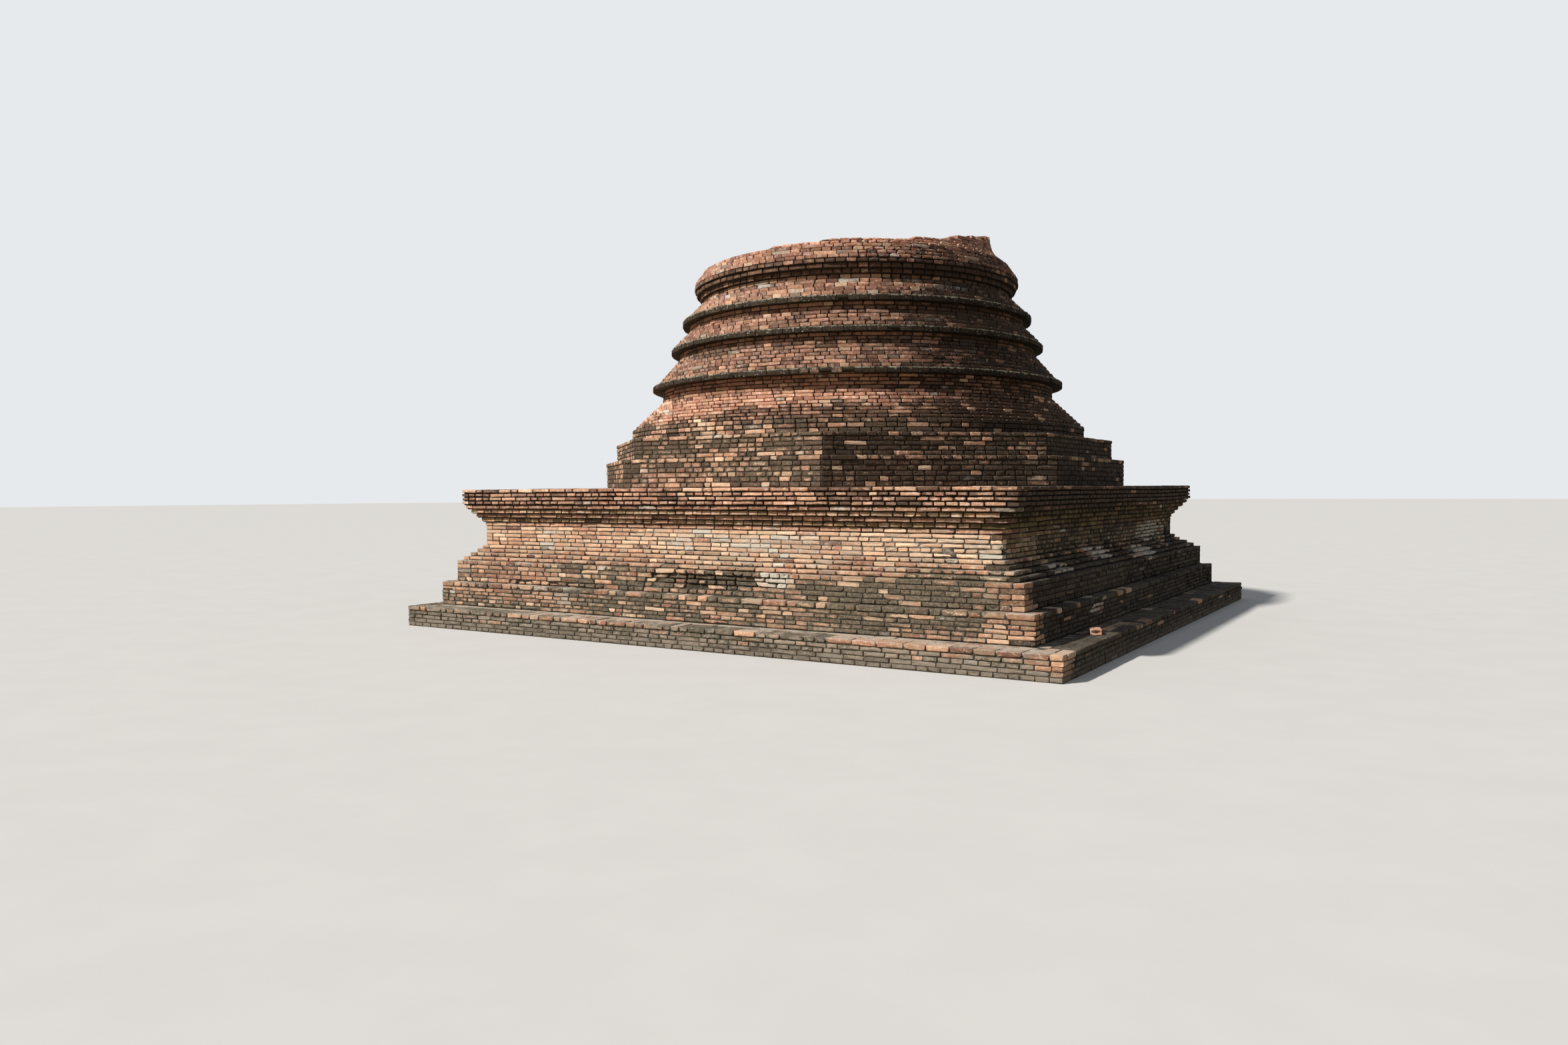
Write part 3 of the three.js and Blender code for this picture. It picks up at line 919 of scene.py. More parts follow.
def paintBricks(bricks, paint, rng):
    points = bricks["centre"]
    count = len(points)
    flat = np.abs(bricks["outward"][:, 2]) > 0.5
    away = np.where(flat[:, None], points[:, :2] - axis, bricks["outward"][:, :2])
    bearing = np.arctan2(away[:, 1], away[:, 0])
    shaded = shadedShare(bearing)
    values = placePaint(points, bearing, paint)
    for name, share in {"clayTone": paint["spread"], **brickSpread}.items():
        values[name] = values[name] + rng.normal(0, share, count)
    # feet and rain keep the treads free of growth
    evened = 0.6 * paint["patchy"] * (blotches(points, 0.9, 31) - 0.5)
    values["blackCrust"] = values["blackCrust"] + bricks["grime"] - flat * (0.28 * (1 - shaded) + evened)
    values["greyTint"] = values["greyTint"] + bricks["grey"]
    # a few bricks are overfired, to grey or to brown
    odd = rng.random(count)
    grey = rng.uniform(0.93, 1.0, count)
    tone = np.where(odd < paint["grey"], grey, np.clip(values["clayTone"], 0.02, 0.9))
    tone = np.where(odd > 1 - paint["brown"], rng.uniform(0.04, 0.2, count), tone)
    # here and there a brick lost its skin and shows bare clay, or was dabbed with lime
    # cap courses are bare more often; on the octagons this partly stands in for a painted highlight along the
    # top edge
    bare = rng.random(count) < either(paint["bare"], shaded) + 0.5 * bricks["clean"]
    kept = rng.uniform(0.2, 0.85, count)
    values["blackCrust"] = np.where(bare, kept * values["blackCrust"], values["blackCrust"])
    for name in ("dust", "greyTint"):
        values[name] = np.where(bare, 0.4 * values[name], values[name])
    values["clayTone"] = np.where(bare, np.minimum(0.84, tone + paint["bareTone"]), tone)
    limed = rng.random(count) < paint["limed"]
    values["lime"] = np.where(limed, rng.uniform(0.4, 0.95, count), values["lime"])
    for name in ("blackCrust", "dust", "mossTint", "lime", "lichen", "greyTint"):
        values[name] = np.clip(values[name], 0, 1)
    values["clayLevelAndPaintedLight"] = np.clip(values["clayLevelAndPaintedLight"], 0.5, 2.2)
    values["ownPattern"] = rng.uniform(0, 40, count)
    values["paleJoint"] = np.zeros(count)
    return values


# the fill behind the bricks: rings of points, one above the other, closed by a fan at each end
def ringBody(rings, joints, sides=0):
    around = len(rings[0])
    bands = len(rings) - 1
    points = np.concatenate([*rings, [rings[0].mean(axis=0)], [rings[-1].mean(axis=0)]])
    spot = np.arange(around)
    after = (spot + 1) % around
    low = np.stack([spot, after], axis=1)
    ladder = [np.concatenate([level * around + low, (level + 1) * around + low[:, ::-1]], axis=1)
              for level in range(bands)]
    quads = np.concatenate(ladder)
    top = bands * around
    under = np.stack([np.full(around, len(points) - 2), after, spot], axis=1)
    over = np.stack([np.full(around, len(points) - 1), top + spot, top + after], axis=1)
    # bake map: the bands along the top edge of the map, and the two fans in its corner
    level = np.repeat(np.arange(bands), around)
    left = 0.86 * np.tile(spot, bands) / around
    right = 0.86 * (np.tile(spot, bands) + 1) / around
    low = 0.905 + 0.09 * level * (1 / bands)
    high = low + 0.09 * (1 / bands)
    band = np.stack([left, low, right, low, right, high, left, high], axis=1).reshape(-1, 2)
    spread = (points[:, :2] - points[:, :2].min(axis=0)) / np.ptp(points[:, :2], axis=0).max()
    underMap = (0.87, 0.905) + 0.045 * spread[under.ravel()]
    overMap = (0.92, 0.905) + (0.075, 0.09) * spread[over.ravel()]
    return {
        "points": points,
        "loops": np.concatenate([quads.ravel(), under.ravel(), over.ravel()]),
        "sizes": np.array([4] * len(quads) + [3] * 2 * around),
        "map": np.concatenate([band, underMap, overMap]),
        "joints": {**commonJoints, **joints},
        "sides": sides,
        "top": top,
    }


# joints share the growth of the bricks round them
def paintBody(body, paint):
    points = body["points"]
    joints = body["joints"]
    away = points[:, :2] - axis
    bearing = np.arctan2(away[:, 1], away[:, 0])
    if body["sides"]:
        turn = 2 * math.pi / body["sides"]
        bearing = np.round(bearing / turn) * turn
    values = placePaint(points, bearing, paint)
    values["paleJoint"] = np.full(len(points), joints["pale"])
    # earth has blown into the joints of the treads
    overhead = np.arange(len(points)) >= body["top"]
    values["crustLight"] = values["crustLight"] * np.where(overhead, 1.0, joints["light"])
    grown = np.clip(values["blackCrust"] + joints["crust"], 0, 1)
    values["blackCrust"] = grown * np.where(overhead, 0.6, 1.0)
    values["dust"] = np.clip(values["dust"] + 0.3 * overhead, 0, 1)
    return values


# all bricks and bodies of one tier as arrays for its mesh
def gatherMesh(work, paint):
    rng = work["rng"]
    bricks = {name: np.concatenate([part[name] for part in work["parts"]]) for name in work["parts"][0]}
    count = len(bricks["centre"])
    painted = paintBricks(bricks, paint, rng)
    offsets = np.repeat(np.arange(count) * brickVertices, len(plan["loops"]))
    # every brick has its own cell in the lower part of the bake map
    columns = max(1, math.ceil(math.sqrt(count / 2.0)))
    cell = np.stack([np.arange(count) % columns, np.arange(count) // columns], axis=1)
    cellSize = np.array([1 / columns, 0.9 / math.ceil(count / columns)])
    made = {
        "points": [brickCorners(bricks, rng)],
        "loops": [np.tile(plan["loops"], count) + offsets],
        "sizes": [np.tile(plan["sizes"], count)],
        "smooth": [np.tile(plan["smooth"], count)],
        "slots": [np.zeros(count * len(plan["sizes"]), int)],
        "map": [((cell[:, None] + plan["map"][None]) * cellSize).reshape(-1, 2)],
    }
    values = {name: [np.repeat(value, brickVertices)] for name, value in painted.items()}
    values["faceEdge"] = [np.tile(faceEdge, count)]
    values["faceHeight"] = [np.tile(faceHeight, count)]
    placed = count * brickVertices
    for body in work["bodies"]:
        faces = len(body["sizes"])
        made["points"].append(body["points"])
        made["loops"].append(body["loops"] + placed)
        made["sizes"].append(body["sizes"])
        made["smooth"].append(np.ones(faces, bool))
        made["slots"].append(np.ones(faces, int))
        made["map"].append(body["map"])
        painted = paintBody(body, paint)
        for name in values:
            values[name].append(painted.get(name, np.zeros(len(body["points"]))))
        placed += len(body["points"])
    made = {name: np.concatenate(rows) for name, rows in made.items()}
    made["points"] = settle(made["points"])
    return count, made, {name: np.concatenate(rows) for name, rows in values.items()}


def setValues(mesh, values):
    for name, value in values.items():
        made = mesh.attributes.new(name, "FLOAT", "POINT")
        made.data.foreach_set("value", np.broadcast_to(value, len(mesh.vertices)).astype(np.float32))


def makePiece(node, finish, work, paint):
    name = node + "_bricks"
    count, made, values = gatherMesh(work, {**commonPaint, **paint})
    starts = np.concatenate([[0], np.cumsum(made["sizes"])[:-1]])
    mesh = bpy.data.meshes.new(name)
    mesh.vertices.add(len(made["points"]))
    mesh.vertices.foreach_set("co", made["points"].astype(np.float32).ravel())
    mesh.loops.add(len(made["loops"]))
    mesh.loops.foreach_set("vertex_index", made["loops"].astype(np.int32))
    mesh.polygons.add(len(starts))
    mesh.polygons.foreach_set("loop_start", starts.astype(np.int32))
    mesh.polygons.foreach_set("use_smooth", made["smooth"])
    mesh.polygons.foreach_set("material_index", made["slots"].astype(np.int32))
    mesh.update(calc_edges=True)
    layer = mesh.uv_layers.new(name="OFBake")
    layer.uv.foreach_set("vector", made["map"].astype(np.float32).ravel())
    setValues(mesh, values)
    mesh.materials.append(materials[finish])
    mesh.materials.append(jointFills[finish])
    mesh.validate()
    piece = bpy.data.objects.new(name, mesh)
    scene.collection.objects.link(piece)
    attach(piece, "root")
    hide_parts(node)
    return count


# lengths of bricks with their joints for one run, and whether each is laid lengthwise
def splitRun(length, stretchers, rng, uneven):
    lengths = []
    kinds = []
    while sum(lengths) < length - 0.07:
        lengthwise = rng.random() < stretchers
        if not lengths and stretchers > 0.6:
            lengthwise = rng.random() < 0.5
        size = brickSizes["stretcher"] if lengthwise else brickSizes["header"]
        lengths.append(size * rng.normal(1, uneven))
        kinds.append(lengthwise)
    lengths = np.array(lengths)
    return lengths * length / lengths.sum(), np.array(kinds)


def sidesOf(corners):
    sides = []
    for start, end in zip(corners, corners[1:] + corners[:1]):
        start = np.array(start)
        run = np.array(end) - start
        length = float(np.linalg.norm(run))
        along = run / length
        outward = np.array([along[1], -along[0]])
        sides.append({"start": start, "along": along, "outward": outward, "length": length})
    return sides


def squareCorners(low, high):
    return [(low[0], low[1]), (high[0], low[1]), (high[0], high[1]), (low[0], high[1])]


def octagonCorners(middle, flat):
    reach = flat / math.cos(math.pi / 8)
    bearings = [math.radians(-112.5 + 45 * number) for number in range(8)]
    return [(middle[0] + reach * math.cos(b), middle[1] + reach * math.sin(b)) for b in bearings]


def insetCorners(corners, inset):
    sides = sidesOf(corners)
    found = []
    for before, side in zip([sides[-1]] + sides[:-1], sides):
        turn = before["outward"] + side["outward"]
        found.append(tuple(side["start"] - inset * turn * 2 / (turn @ turn)))
    return found


cornerGrime = 0.35  # the corners of the octagons are the dirtiest


# one course round a square or an octagon; course counts up, so that the corners are bonded
def layStraightCourse(work, sides, low, height, stretchers, course, proud, clean, backed):
    rng = work["rng"]
    square = len(sides) == 4
    depths = work["cornerDepth"]
    for number, side in enumerate(sides):
        # a square corner belongs to one of its two sides, and the other starts behind that brick
        owner = square and (number + course) % 2 == 0
        inset = 0.0
        if square and not owner:
            if course not in depths:
                depths[course] = brickSizes["stretcherDepth" if rng.random() < 0.5 else "headerDepth"]
            inset = depths[course]
        lengths, kinds = splitRun(side["length"] - 2 * inset, stretchers, rng, work["uneven"])
        count = len(lengths)
        middle = inset + np.cumsum(lengths) - lengths / 2
        brickHeight = height - work["bed"] * rng.uniform(0.75, 1.35, count)
        brickLength = lengths - work["upright"] * rng.uniform(0.6, 1.5, count)
        buried = brickSizes["headerDepth" if backed else "buriedDepth"]
        depth = np.where(kinds, brickSizes["stretcherDepth"], buried)
        if owner:
            brickLength[[0, -1]] += 0.003
            depths.setdefault(course, brickSizes["stretcherDepth" if kinds[0] else "headerDepth"])
            depth[[0, -1]] = depths[course] - brickSizes["upright"]
        pinch = np.zeros((count, 2))
        if not square:
            pinch[0, 0] = pinch[-1, 1] = math.tan(math.pi / 8)
        flat = side["start"] + middle[:, None] * side["along"]
        centre = np.column_stack([flat, low + height - brickHeight / 2])
        along = np.append(side["along"], 0.0)
        outward = np.append(side["outward"], 0.0)
        wear, back = wearAt(centre)
        loose = rng.normal(0, flaw("outOfLine", wear), count)
        lost = rng.random(count) < flaw("lost", wear)
        lost[[0, -1]] = False
        back = back + np.where(lost, rng.uniform(0.03, 0.075, count), 0)
        wear = np.clip(wear + work["wear"] * rng.uniform(0.4, 1.6, count), 0, 1)
        addBricks(work, centre, along, outward, brickLength, brickHeight, depth, wear,
                  proud + loose - back, pinch, clean)
        if not square:
            work["parts"][-1]["grime"][[0, -1]] += cornerGrime
        if backed and kinds.any():
            shift = brickSizes["stretcherDepth"] + brickSizes["upright"]
            addBricks(work, centre[kinds] - shift * outward, along, outward, brickLength[kinds],
                      brickHeight[kinds], brickSizes["headerDepth"] - shift, 0.3, 0.0, clean=clean)


# where a line across a round or cornered outline enters and leaves it
def spanOf(shape, offset, direction):
    across = np.array([-direction[1], direction[0]])
    if "radius" in shape:
        away = offset - shape["middle"] @ across
        half = shape["radius"] ** 2 - away ** 2
        if half <= 0:
            return None
        centre = shape["middle"] @ direction
        return centre - math.sqrt(half), centre + math.sqrt(half)
    places = []
    corners = [np.array(corner) for corner in shape["corners"]]
    for start, end in zip(corners, corners[1:] + corners[:1]):
        first = start @ across - offset
        last = end @ across - offset
        if first * last <= 0 and first != last:
            places.append((start + (end - start) * first / (first - last)) @ direction)
    return (min(places), max(places)) if len(places) > 1 else None


# what of a row between two lines lies in the outline: from the later entry to the earlier exit
def rowIn(shape, offset, width, direction):
    spans = [spanOf(shape, offset + edge, direction) for edge in (0.0, width)]
    if None in spans:
        return None
    return max(span[0] for span in spans), min(span[1] for span in spans)


# rows of bricks laid flat over an area, clipped to an outer outline and left out under the next tier
def paveArea(work, outer, inner, z, thick, direction, offsets, wear, stretchers=0.8, gap=0.007, ragged=0.0):
    rng = work["rng"]
    direction = np.array(direction)
    across = np.array([-direction[1], direction[0]])
    width = brickSizes["header"]
    for offset in np.arange(offsets[0], offsets[1], width):
        row = rowIn(outer, offset, width, direction)
        if row is None:
            continue
        hole = rowIn(inner, offset, width, direction) if inner else None
        runs = [(row[0], hole[0]), (hole[1], row[1])] if hole else [row]
        for start, end in runs:
            if end - start < 0.06:
                continue
            lengths = splitRun(end - start, stretchers, rng, 0.035)[0]
            middle = start + np.cumsum(lengths) - lengths / 2
            count = len(lengths)
            flat = middle[:, None] * direction + (offset + width / 2) * across
            centre = np.column_stack([flat, np.full(count, z)])
            if ragged and offset == offsets[0]:
                centre[:, :2] += rng.uniform(-ragged, ragged, count)[:, None] * across
            sunk = rng.normal(0, 0.0022, count) - 0.002
            # a brick that lies flat faces up, and its height lies across the row
            brickWidth = width - gap * rng.uniform(0.6, 1.4, count)
            brickWear = wear * rng.uniform(0.5, 1.5, count)
            addBricks(work, centre, np.append(direction, 0.0), (0, 0, 1), lengths - gap, brickWidth, thick,
                      brickWear, sunk)


def courseHeights(low, high, courses, cap):
    if cap is None:
        heights = np.full(courses, (high - low) / courses)
    else:
        heights = np.append(np.full(courses - 1, (high - low - cap) / (courses - 1)), cap)
    return low + np.concatenate([[0], np.cumsum(heights)])


def cornerRing(corners, inset, z, spacing=0.16):
    points = []
    for side in sidesOf(insetCorners(corners, inset)):
        parts = max(2, round(side["length"] / spacing))
        along = np.arange(parts) / parts * side["length"]
        outward = np.append(side["outward"], 0.0)
        ring = np.column_stack([side["start"] + along[:, None] * side["along"], np.full(parts, z)])
        # the fill lies back with the worn bricks, but not at the corners
        back = wearAt(ring + outward * inset)[1]
        nearEnd = np.minimum(along, side["length"] - along)
        push = back * np.clip(nearEnd / 0.3, 0, 1) * 1.5
        points.append(ring - push[:, None] * outward)
    return np.concatenate(points)


# a tier where its own entry says nothing: no cap, no extra dirt or painted ring shadow and no paving behind
# the top course
commonTier = {
    "cap": None,
    "capProud": 0.0,
    "capRounding": 0.0,
    "capClean": 0.3,
    "lowGrey": 0.0,
    "lowGrime": 0.0,
    "dampCourses": 0,
    "backed": False,
    "tread": None,
}

# what the two worn steps, the base moulding and the corbels have in common
stepLaying = {"uneven": 0.12, "bed": 0.0052, "upright": 0.007}
stepJoints = {"recess": 0.008, "pale": 0.05, "crust": 0.2, "light": 0.6}
stepPaint = {"tone": 0.52, "spread": 0.13, "grey": 0.05, "brown": 0.07, "patchy": 0.8, "bareTone": 0.16}
mouldingLaying = {"wear": 0.26, "uneven": 0.07, "bed": 0.006, "upright": 0.0075}
mouldingJoints = {"recess": 0.010, "pale": 0.1, "light": 0.65}
mouldingPaint = {"tone": 0.56, "spread": 0.11, "grey": 0.05, "patchy": 0.7, "dust": (0.22, 0.12),
                 "lichen": (0.1, 0.35), "mossTint": (0.1, 0.3), "greyTint": (0.2, 0.3), "limed": 0.02}
corbelLaying = {"wear": 0.24, "bed": 0.009}
corbelJoints = {"recess": 0.018, "crust": 0.15, "light": 0.6}

# the square tiers: bond is the share of bricks laid lengthwise in each course from the bottom up;
# tread is the paving round the foot of the next tier
squareTiers = {
    "foundation_step": {
        "bond": (0.2, 0.8, 0.12, 0.8, 0.5), "cap": 0.056, "capProud": 0.006, "capRounding": 0.004,
        "capClean": 0.1, "lowGrey": 0.4, "finish": "wornBrick", "backed": True,
        "tread": {"next": "second_step", "lap": 0.05, "inset": 0.24, "wear": 0.25, "gap": 0.004,
                  "rounding": 0.004},
        "laying": {"wear": 0.28, "uneven": 0.12, "bed": 0.0048, "upright": 0.0065},
        "joints": {"recess": 0.009, "pale": 0.05, "crust": 0.2, "light": 0.5},
        "paint": {"tone": 0.44, "spread": 0.11, "grey": 0.06, "brown": 0.04, "blackCrust": (0.48, 0.76),
                  "dust": (0.36, 0.12), "bare": (0.04, 0.03), "lichen": (0.34, 0.36),
                  "mossTint": (0.1, 0.22), "greyTint": (0.6, 0.55), "limed": 0.0},
    },
    "second_step": {
        "bond": (0.8, 0.12, 0.8, 0.12, 0.8, 0.5), "cap": 0.062, "capProud": 0.008, "capRounding": 0.005,
        "finish": "wornBrick",
        "laying": {**stepLaying, "wear": 0.34}, "joints": stepJoints,
        "paint": {**stepPaint, "blackCrust": (0.60, 0.90), "dust": (0.26, 0.08), "bare": (0.28, 0.05),
                  "lichen": (0.14, 0.4), "mossTint": (0.14, 0.3), "greyTint": (0.3, 0.35), "limed": 0.015,
                  "shade": (0.94, 0.8)},
    },
    "third_step": {
        "bond": (0.14, 0.8, 0.14, 0.8, 0.3), "capProud": 0.002, "finish": "wornBrick",
        "laying": {**stepLaying, "wear": 0.36}, "joints": stepJoints,
        "paint": {**stepPaint, "blackCrust": (0.60, 0.92), "dust": (0.24, 0.08), "bare": (0.25, 0.04),
                  "lichen": (0.14, 0.45), "mossTint": (0.16, 0.3), "greyTint": (0.28, 0.35), "limed": 0.01,
                  "shade": (0.96, 0.8)},
    },
    "base_moulding_course_1": {
        "bond": (0.86,), "capRounding": 0.003, "finish": "wornBrick",
        "laying": mouldingLaying, "joints": mouldingJoints,
        "paint": {**mouldingPaint, "tone": 0.54, "grey": 0.04, "brown": 0.05, "blackCrust": (0.44, 0.90),
                  "bare": (0.26, 0.06)},
    },
    "base_moulding_course_2": {
        "bond": (0.14,), "capRounding": 0.003, "finish": "wornBrick",
        "laying": mouldingLaying, "joints": mouldingJoints,
        "paint": {**mouldingPaint, "spread": 0.12, "brown": 0.04, "blackCrust": (0.38, 0.90),
                  "bare": (0.28, 0.06), "limed": 0.03},
    },
    "base_moulding_course_3": {
        "bond": (0.86,), "capRounding": 0.002, "finish": "wornBrick",
        "laying": {**mouldingLaying, "wear": 0.22, "uneven": 0.06},
        "joints": {**mouldingJoints, "recess": 0.012, "pale": 0.2, "crust": 0.05},
        "paint": {**mouldingPaint, "blackCrust": (0.26, 0.86), "patchy": 0.65, "bare": (0.36, 0.07),
                  "lichen": (0.08, 0.3), "mossTint": (0.06, 0.3), "greyTint": (0.15, 0.3)},
    },
    "base_moulding_course_4": {
        "bond": (0.2,), "capRounding": 0.002, "finish": "wornBrick",
        "laying": {**mouldingLaying, "wear": 0.22, "uneven": 0.06},
        "joints": {**mouldingJoints, "recess": 0.011, "pale": 0.3, "crust": 0.0},
        "paint": {**mouldingPaint, "tone": 0.62, "spread": 0.12, "brown": 0.02, "blackCrust": (0.16, 0.8),
                  "patchy": 0.55, "dust": (0.25, 0.12), "bare": (0.4, 0.08), "lichen": (0.05, 0.3),
                  "mossTint": (0.04, 0.3), "greyTint": (0.1, 0.3)},
    },
    "platform_wall": {
        "bond": (0.86, 0.16, 0.9, 0.55, 0.86), "finish": "wornBrick",
        "laying": {"wear": 0.2, "uneven": 0.07, "upright": 0.0075},
        "joints": {"recess": 0.008, "pale": 0.38, "crust": 0.0, "light": 0.66},
        "paint": {"tone": 0.63, "spread": 0.11, "brown": 0.015, "blackCrust": (0.07, 0.52), "patchy": 0.35,
                  "dust": (0.3, 0.1), "bare": (0.4, 0.05), "lichen": (0.0, 0.2), "mossTint": (0.0, 0.5),
                  "greyTint": (0.02, 0.2), "limed": 0.03, "bareTone": 0.04, "shade": (1.2, 0.62)},
    },
    "cornice_corbel_1": {
        "bond": (0.9,), "finish": "redBrick", "laying": {"wear": 0.2, "bed": 0.008},
        "joints": {"recess": 0.016, "pale": 0.2, "light": 0.7},
        "paint": {"tone": 0.54, "blackCrust": (0.18, 0.5), "dust": (0.2, 0.08), "bare": (0.3, 0.05),
                  "mossTint": (0.2, 0.6), "shade": (1.0, 0.62)},
    },
    "cornice_corbel_2": {
        "bond": (0.08,), "finish": "redBrick", "laying": corbelLaying,
        "joints": {**corbelJoints, "pale": 0.1},
        "paint": {"tone": 0.68, "blackCrust": (0.22, 0.5), "dust": (0.2, 0.08), "bare": (0.2, 0.05),
                  "mossTint": (0.5, 0.75), "shade": (1.05, 0.62)},
    },
    "cornice_corbel_3": {
        "bond": (0.9,), "finish": "redBrick", "laying": corbelLaying, "joints": corbelJoints,
        "paint": {"tone": 0.50, "blackCrust": (0.28, 0.55), "dust": (0.18, 0.08), "bare": (0.22, 0.05),
                  "mossTint": (0.3, 0.65), "shade": (0.95, 0.6)},
    },
    "cornice_corbel_4": {
        "bond": (0.08,), "finish": "redBrick", "laying": {**corbelLaying, "wear": 0.26},
        "joints": corbelJoints,
        "paint": {"tone": 0.70, "blackCrust": (0.26, 0.58), "dust": (0.25, 0.08), "bare": (0.3, 0.06),
                  "mossTint": (0.4, 0.65), "limed": 0.02, "shade": (1.15, 0.62)},
    },
    "cornice_corbel_5": {
        "bond": (0.9,), "finish": "redBrick", "laying": {**corbelLaying, "bed": 0.010},
        "joints": {**corbelJoints, "crust": 0.2, "light": 0.55},
        "paint": {"tone": 0.44, "blackCrust": (0.36, 0.68), "dust": (0.15, 0.08), "bare": (0.28, 0.06),
                  "mossTint": (0.12, 0.35), "shade": (0.92, 0.65)},
    },
    "cornice_fascia": {
        "bond": (0.1, 0.5, 0.12, 0.92), "cap": 0.05, "capProud": 0.007, "capRounding": 0.003, "capClean": 0.4,
        "finish": "redBrick", "backed": True,
        "tread": {"next": "octagon_lower_tier", "lap": 0.06, "inset": 0.24, "wear": 0.25, "gap": 0.004,
                  "rounding": 0.003},
        "laying": {"wear": 0.2, "uneven": 0.07, "bed": 0.012, "upright": 0.011},
        "joints": {"recess": 0.022, "crust": 0.2, "light": 0.2},
        "paint": {"tone": 0.47, "grey": 0.04, "brown": 0.06, "blackCrust": (0.52, 0.88), "patchy": 0.65,
                  "dust": (0.18, 0.08), "bare": (0.40, 0.08), "lichen": (0.05, 0.25),
                  "mossTint": (0.03, 0.15), "greyTint": (0.2, 0.2), "bareTone": 0.1, "shade": (1.1, 0.68)},
    },
}

# the two octagonal tiers: their top course is left nearly all bare, and its bright bricks also stand in for a
# painted highlight along the sunlit top edge
octagonTiers = {
    "octagon_lower_tier": {
        "bond": (0.2, 0.1, 0.25, 0.1, 0.2, 0.25), "capProud": 0.006, "capRounding": 0.004, "capClean": 1.2,
        "lowGrime": -0.1, "finish": "grimedBrick", "laying": {"wear": 0.24, "uneven": 0.12},
        "joints": {"recess": 0.009, "crust": 0.05, "light": 0.85},
        "paint": {"tone": 0.57, "spread": 0.13, "grey": 0.05, "brown": 0.05, "blackCrust": (0.74, 0.98),
                  "patchy": 0.4, "dust": (0.25, 0.1), "bare": (0.24, 0.06), "lichen": (0.12, 0.35),
                  "mossTint": (0.1, 0.2), "greyTint": (0.2, 0.3), "bareTone": 0.12, "shade": (0.98, 0.75)},
    },
    "octagon_upper_tier": {
        "bond": (0.2, 0.1, 0.22, 0.1, 0.25), "capProud": 0.006, "capRounding": 0.004, "capClean": 1.2,
        "finish": "grimedBrick", "laying": {"wear": 0.24, "uneven": 0.12},
        "tread": {"next": "round_plinth", "lap": 0.06, "inset": 0.155, "wear": 0.4, "gap": 0.007,
                  "rounding": 0.0},
        "joints": {"recess": 0.009, "crust": 0.05, "light": 0.85},
        "paint": {"tone": 0.52, "spread": 0.12, "grey": 0.04, "brown": 0.05, "blackCrust": (0.68, 0.98),
                  "patchy": 0.45, "dust": (0.22, 0.1), "bare": (0.32, 0.06), "lichen": (0.1, 0.35),
                  "mossTint": (0.06, 0.2), "greyTint": (0.2, 0.3), "bareTone": 0.1, "shade": (0.98, 0.75)},
    },
}


def middleOf(name):
    low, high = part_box(name)
    return (low.x + high.x) / 2, (low.y + high.y) / 2


# the outline of a tier, drawn in by a lap
def outlineOf(name, lap):
    low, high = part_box(name)
    half = (high.x - low.x) / 2 - lap
    if name in squareTiers:
        corners = squareCorners(low, high)
        return {"corners": insetCorners(corners, lap) if lap else corners}
    if name in octagonTiers:
        return {"corners": octagonCorners(middleOf(name), half)}
    # the round plinth stands on the middle of the upper octagon
    return {"middle": np.array(middleOf("octagon_upper_tier")), "radius": half}


def makeCorneredTier(name, tier, seed):
    tier = {**commonTier, **tier}
    low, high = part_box(name)
    work = newWork(seed, **tier["laying"])
    corners = outlineOf(name, 0)["corners"]
    courses = len(tier["bond"])
    levels = courseHeights(low.z, high.z, courses, tier["cap"])
    for course, stretchers in enumerate(tier["bond"]):
        last = course == courses - 1
        upward = course / max(1, courses - 1)
        work["rounding"] = tier["capRounding"] if last else 0.0
        work["grey"] = tier["lowGrey"] * (1 - upward)
        work["grime"] = tier["lowGrime"] * (1 - upward)
        layStraightCourse(
            work, sidesOf(corners), levels[course], levels[course + 1] - levels[course], stretchers,
            course + seed, tier["capProud"] if last else 0.0, tier["capClean"] if last else 0.0,
            tier["backed"] and last)
    recess = tier["joints"]["recess"]
    rings = [cornerRing(corners, recess, z) for z in (*levels[:-1], levels[-1] - 0.005)]
    work["bodies"].append(ringBody(rings, tier["joints"], len(corners)))
    tread = tier["tread"]
    if tread:
        work["rounding"] = tread["rounding"]
        inset = insetCorners(corners, tread["inset"])
        ends = (inset[0][1], inset[len(inset) // 2][1])
        hole = outlineOf(tread["next"], tread["lap"])
        paveArea(work, {"corners": inset}, hole, high.z, brickSizes["thickness"], (1.0, 0.0), ends,
                 tread["wear"], gap=tread["gap"])
    return makePiece(name, tier["finish"], work, tier["paint"])


total = 0
for number, (name, tier) in enumerate(squareTiers.items()):
    total += makeCorneredTier(name, tier, 100 + number)
print("square tiers laid,", total, "bricks so far")
for number, (name, tier) in enumerate(octagonTiers.items()):
    total += makeCorneredTier(name, tier, 200 + number)
print("octagonal tiers laid,", total, "bricks so far")


# the radius of each course, read from the solid's own corners just below and above its middle
def nodeRings(name, courses):
    points = np.array([vertex.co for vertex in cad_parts[name].data.vertices])
    heights = points[:, 2]
    reach = np.linalg.norm(points[:, :2] - axis, axis=1)
    levels = np.linspace(heights.min(), heights.max(), courses + 1)
    radii = []
    for middle in (levels[:-1] + levels[1:]) / 2:
        below = heights[heights < middle].max()
        above = heights[heights > middle].min()
        radii.append(min(reach[np.abs(heights - z) < 0.002].max() for z in (below, above)))
    return levels, radii


def onCircle(radius, bearing, z):
    return np.column_stack([axis[0] + radius * np.cos(bearing), axis[1] + radius * np.sin(bearing),
                            np.broadcast_to(z, len(bearing))])


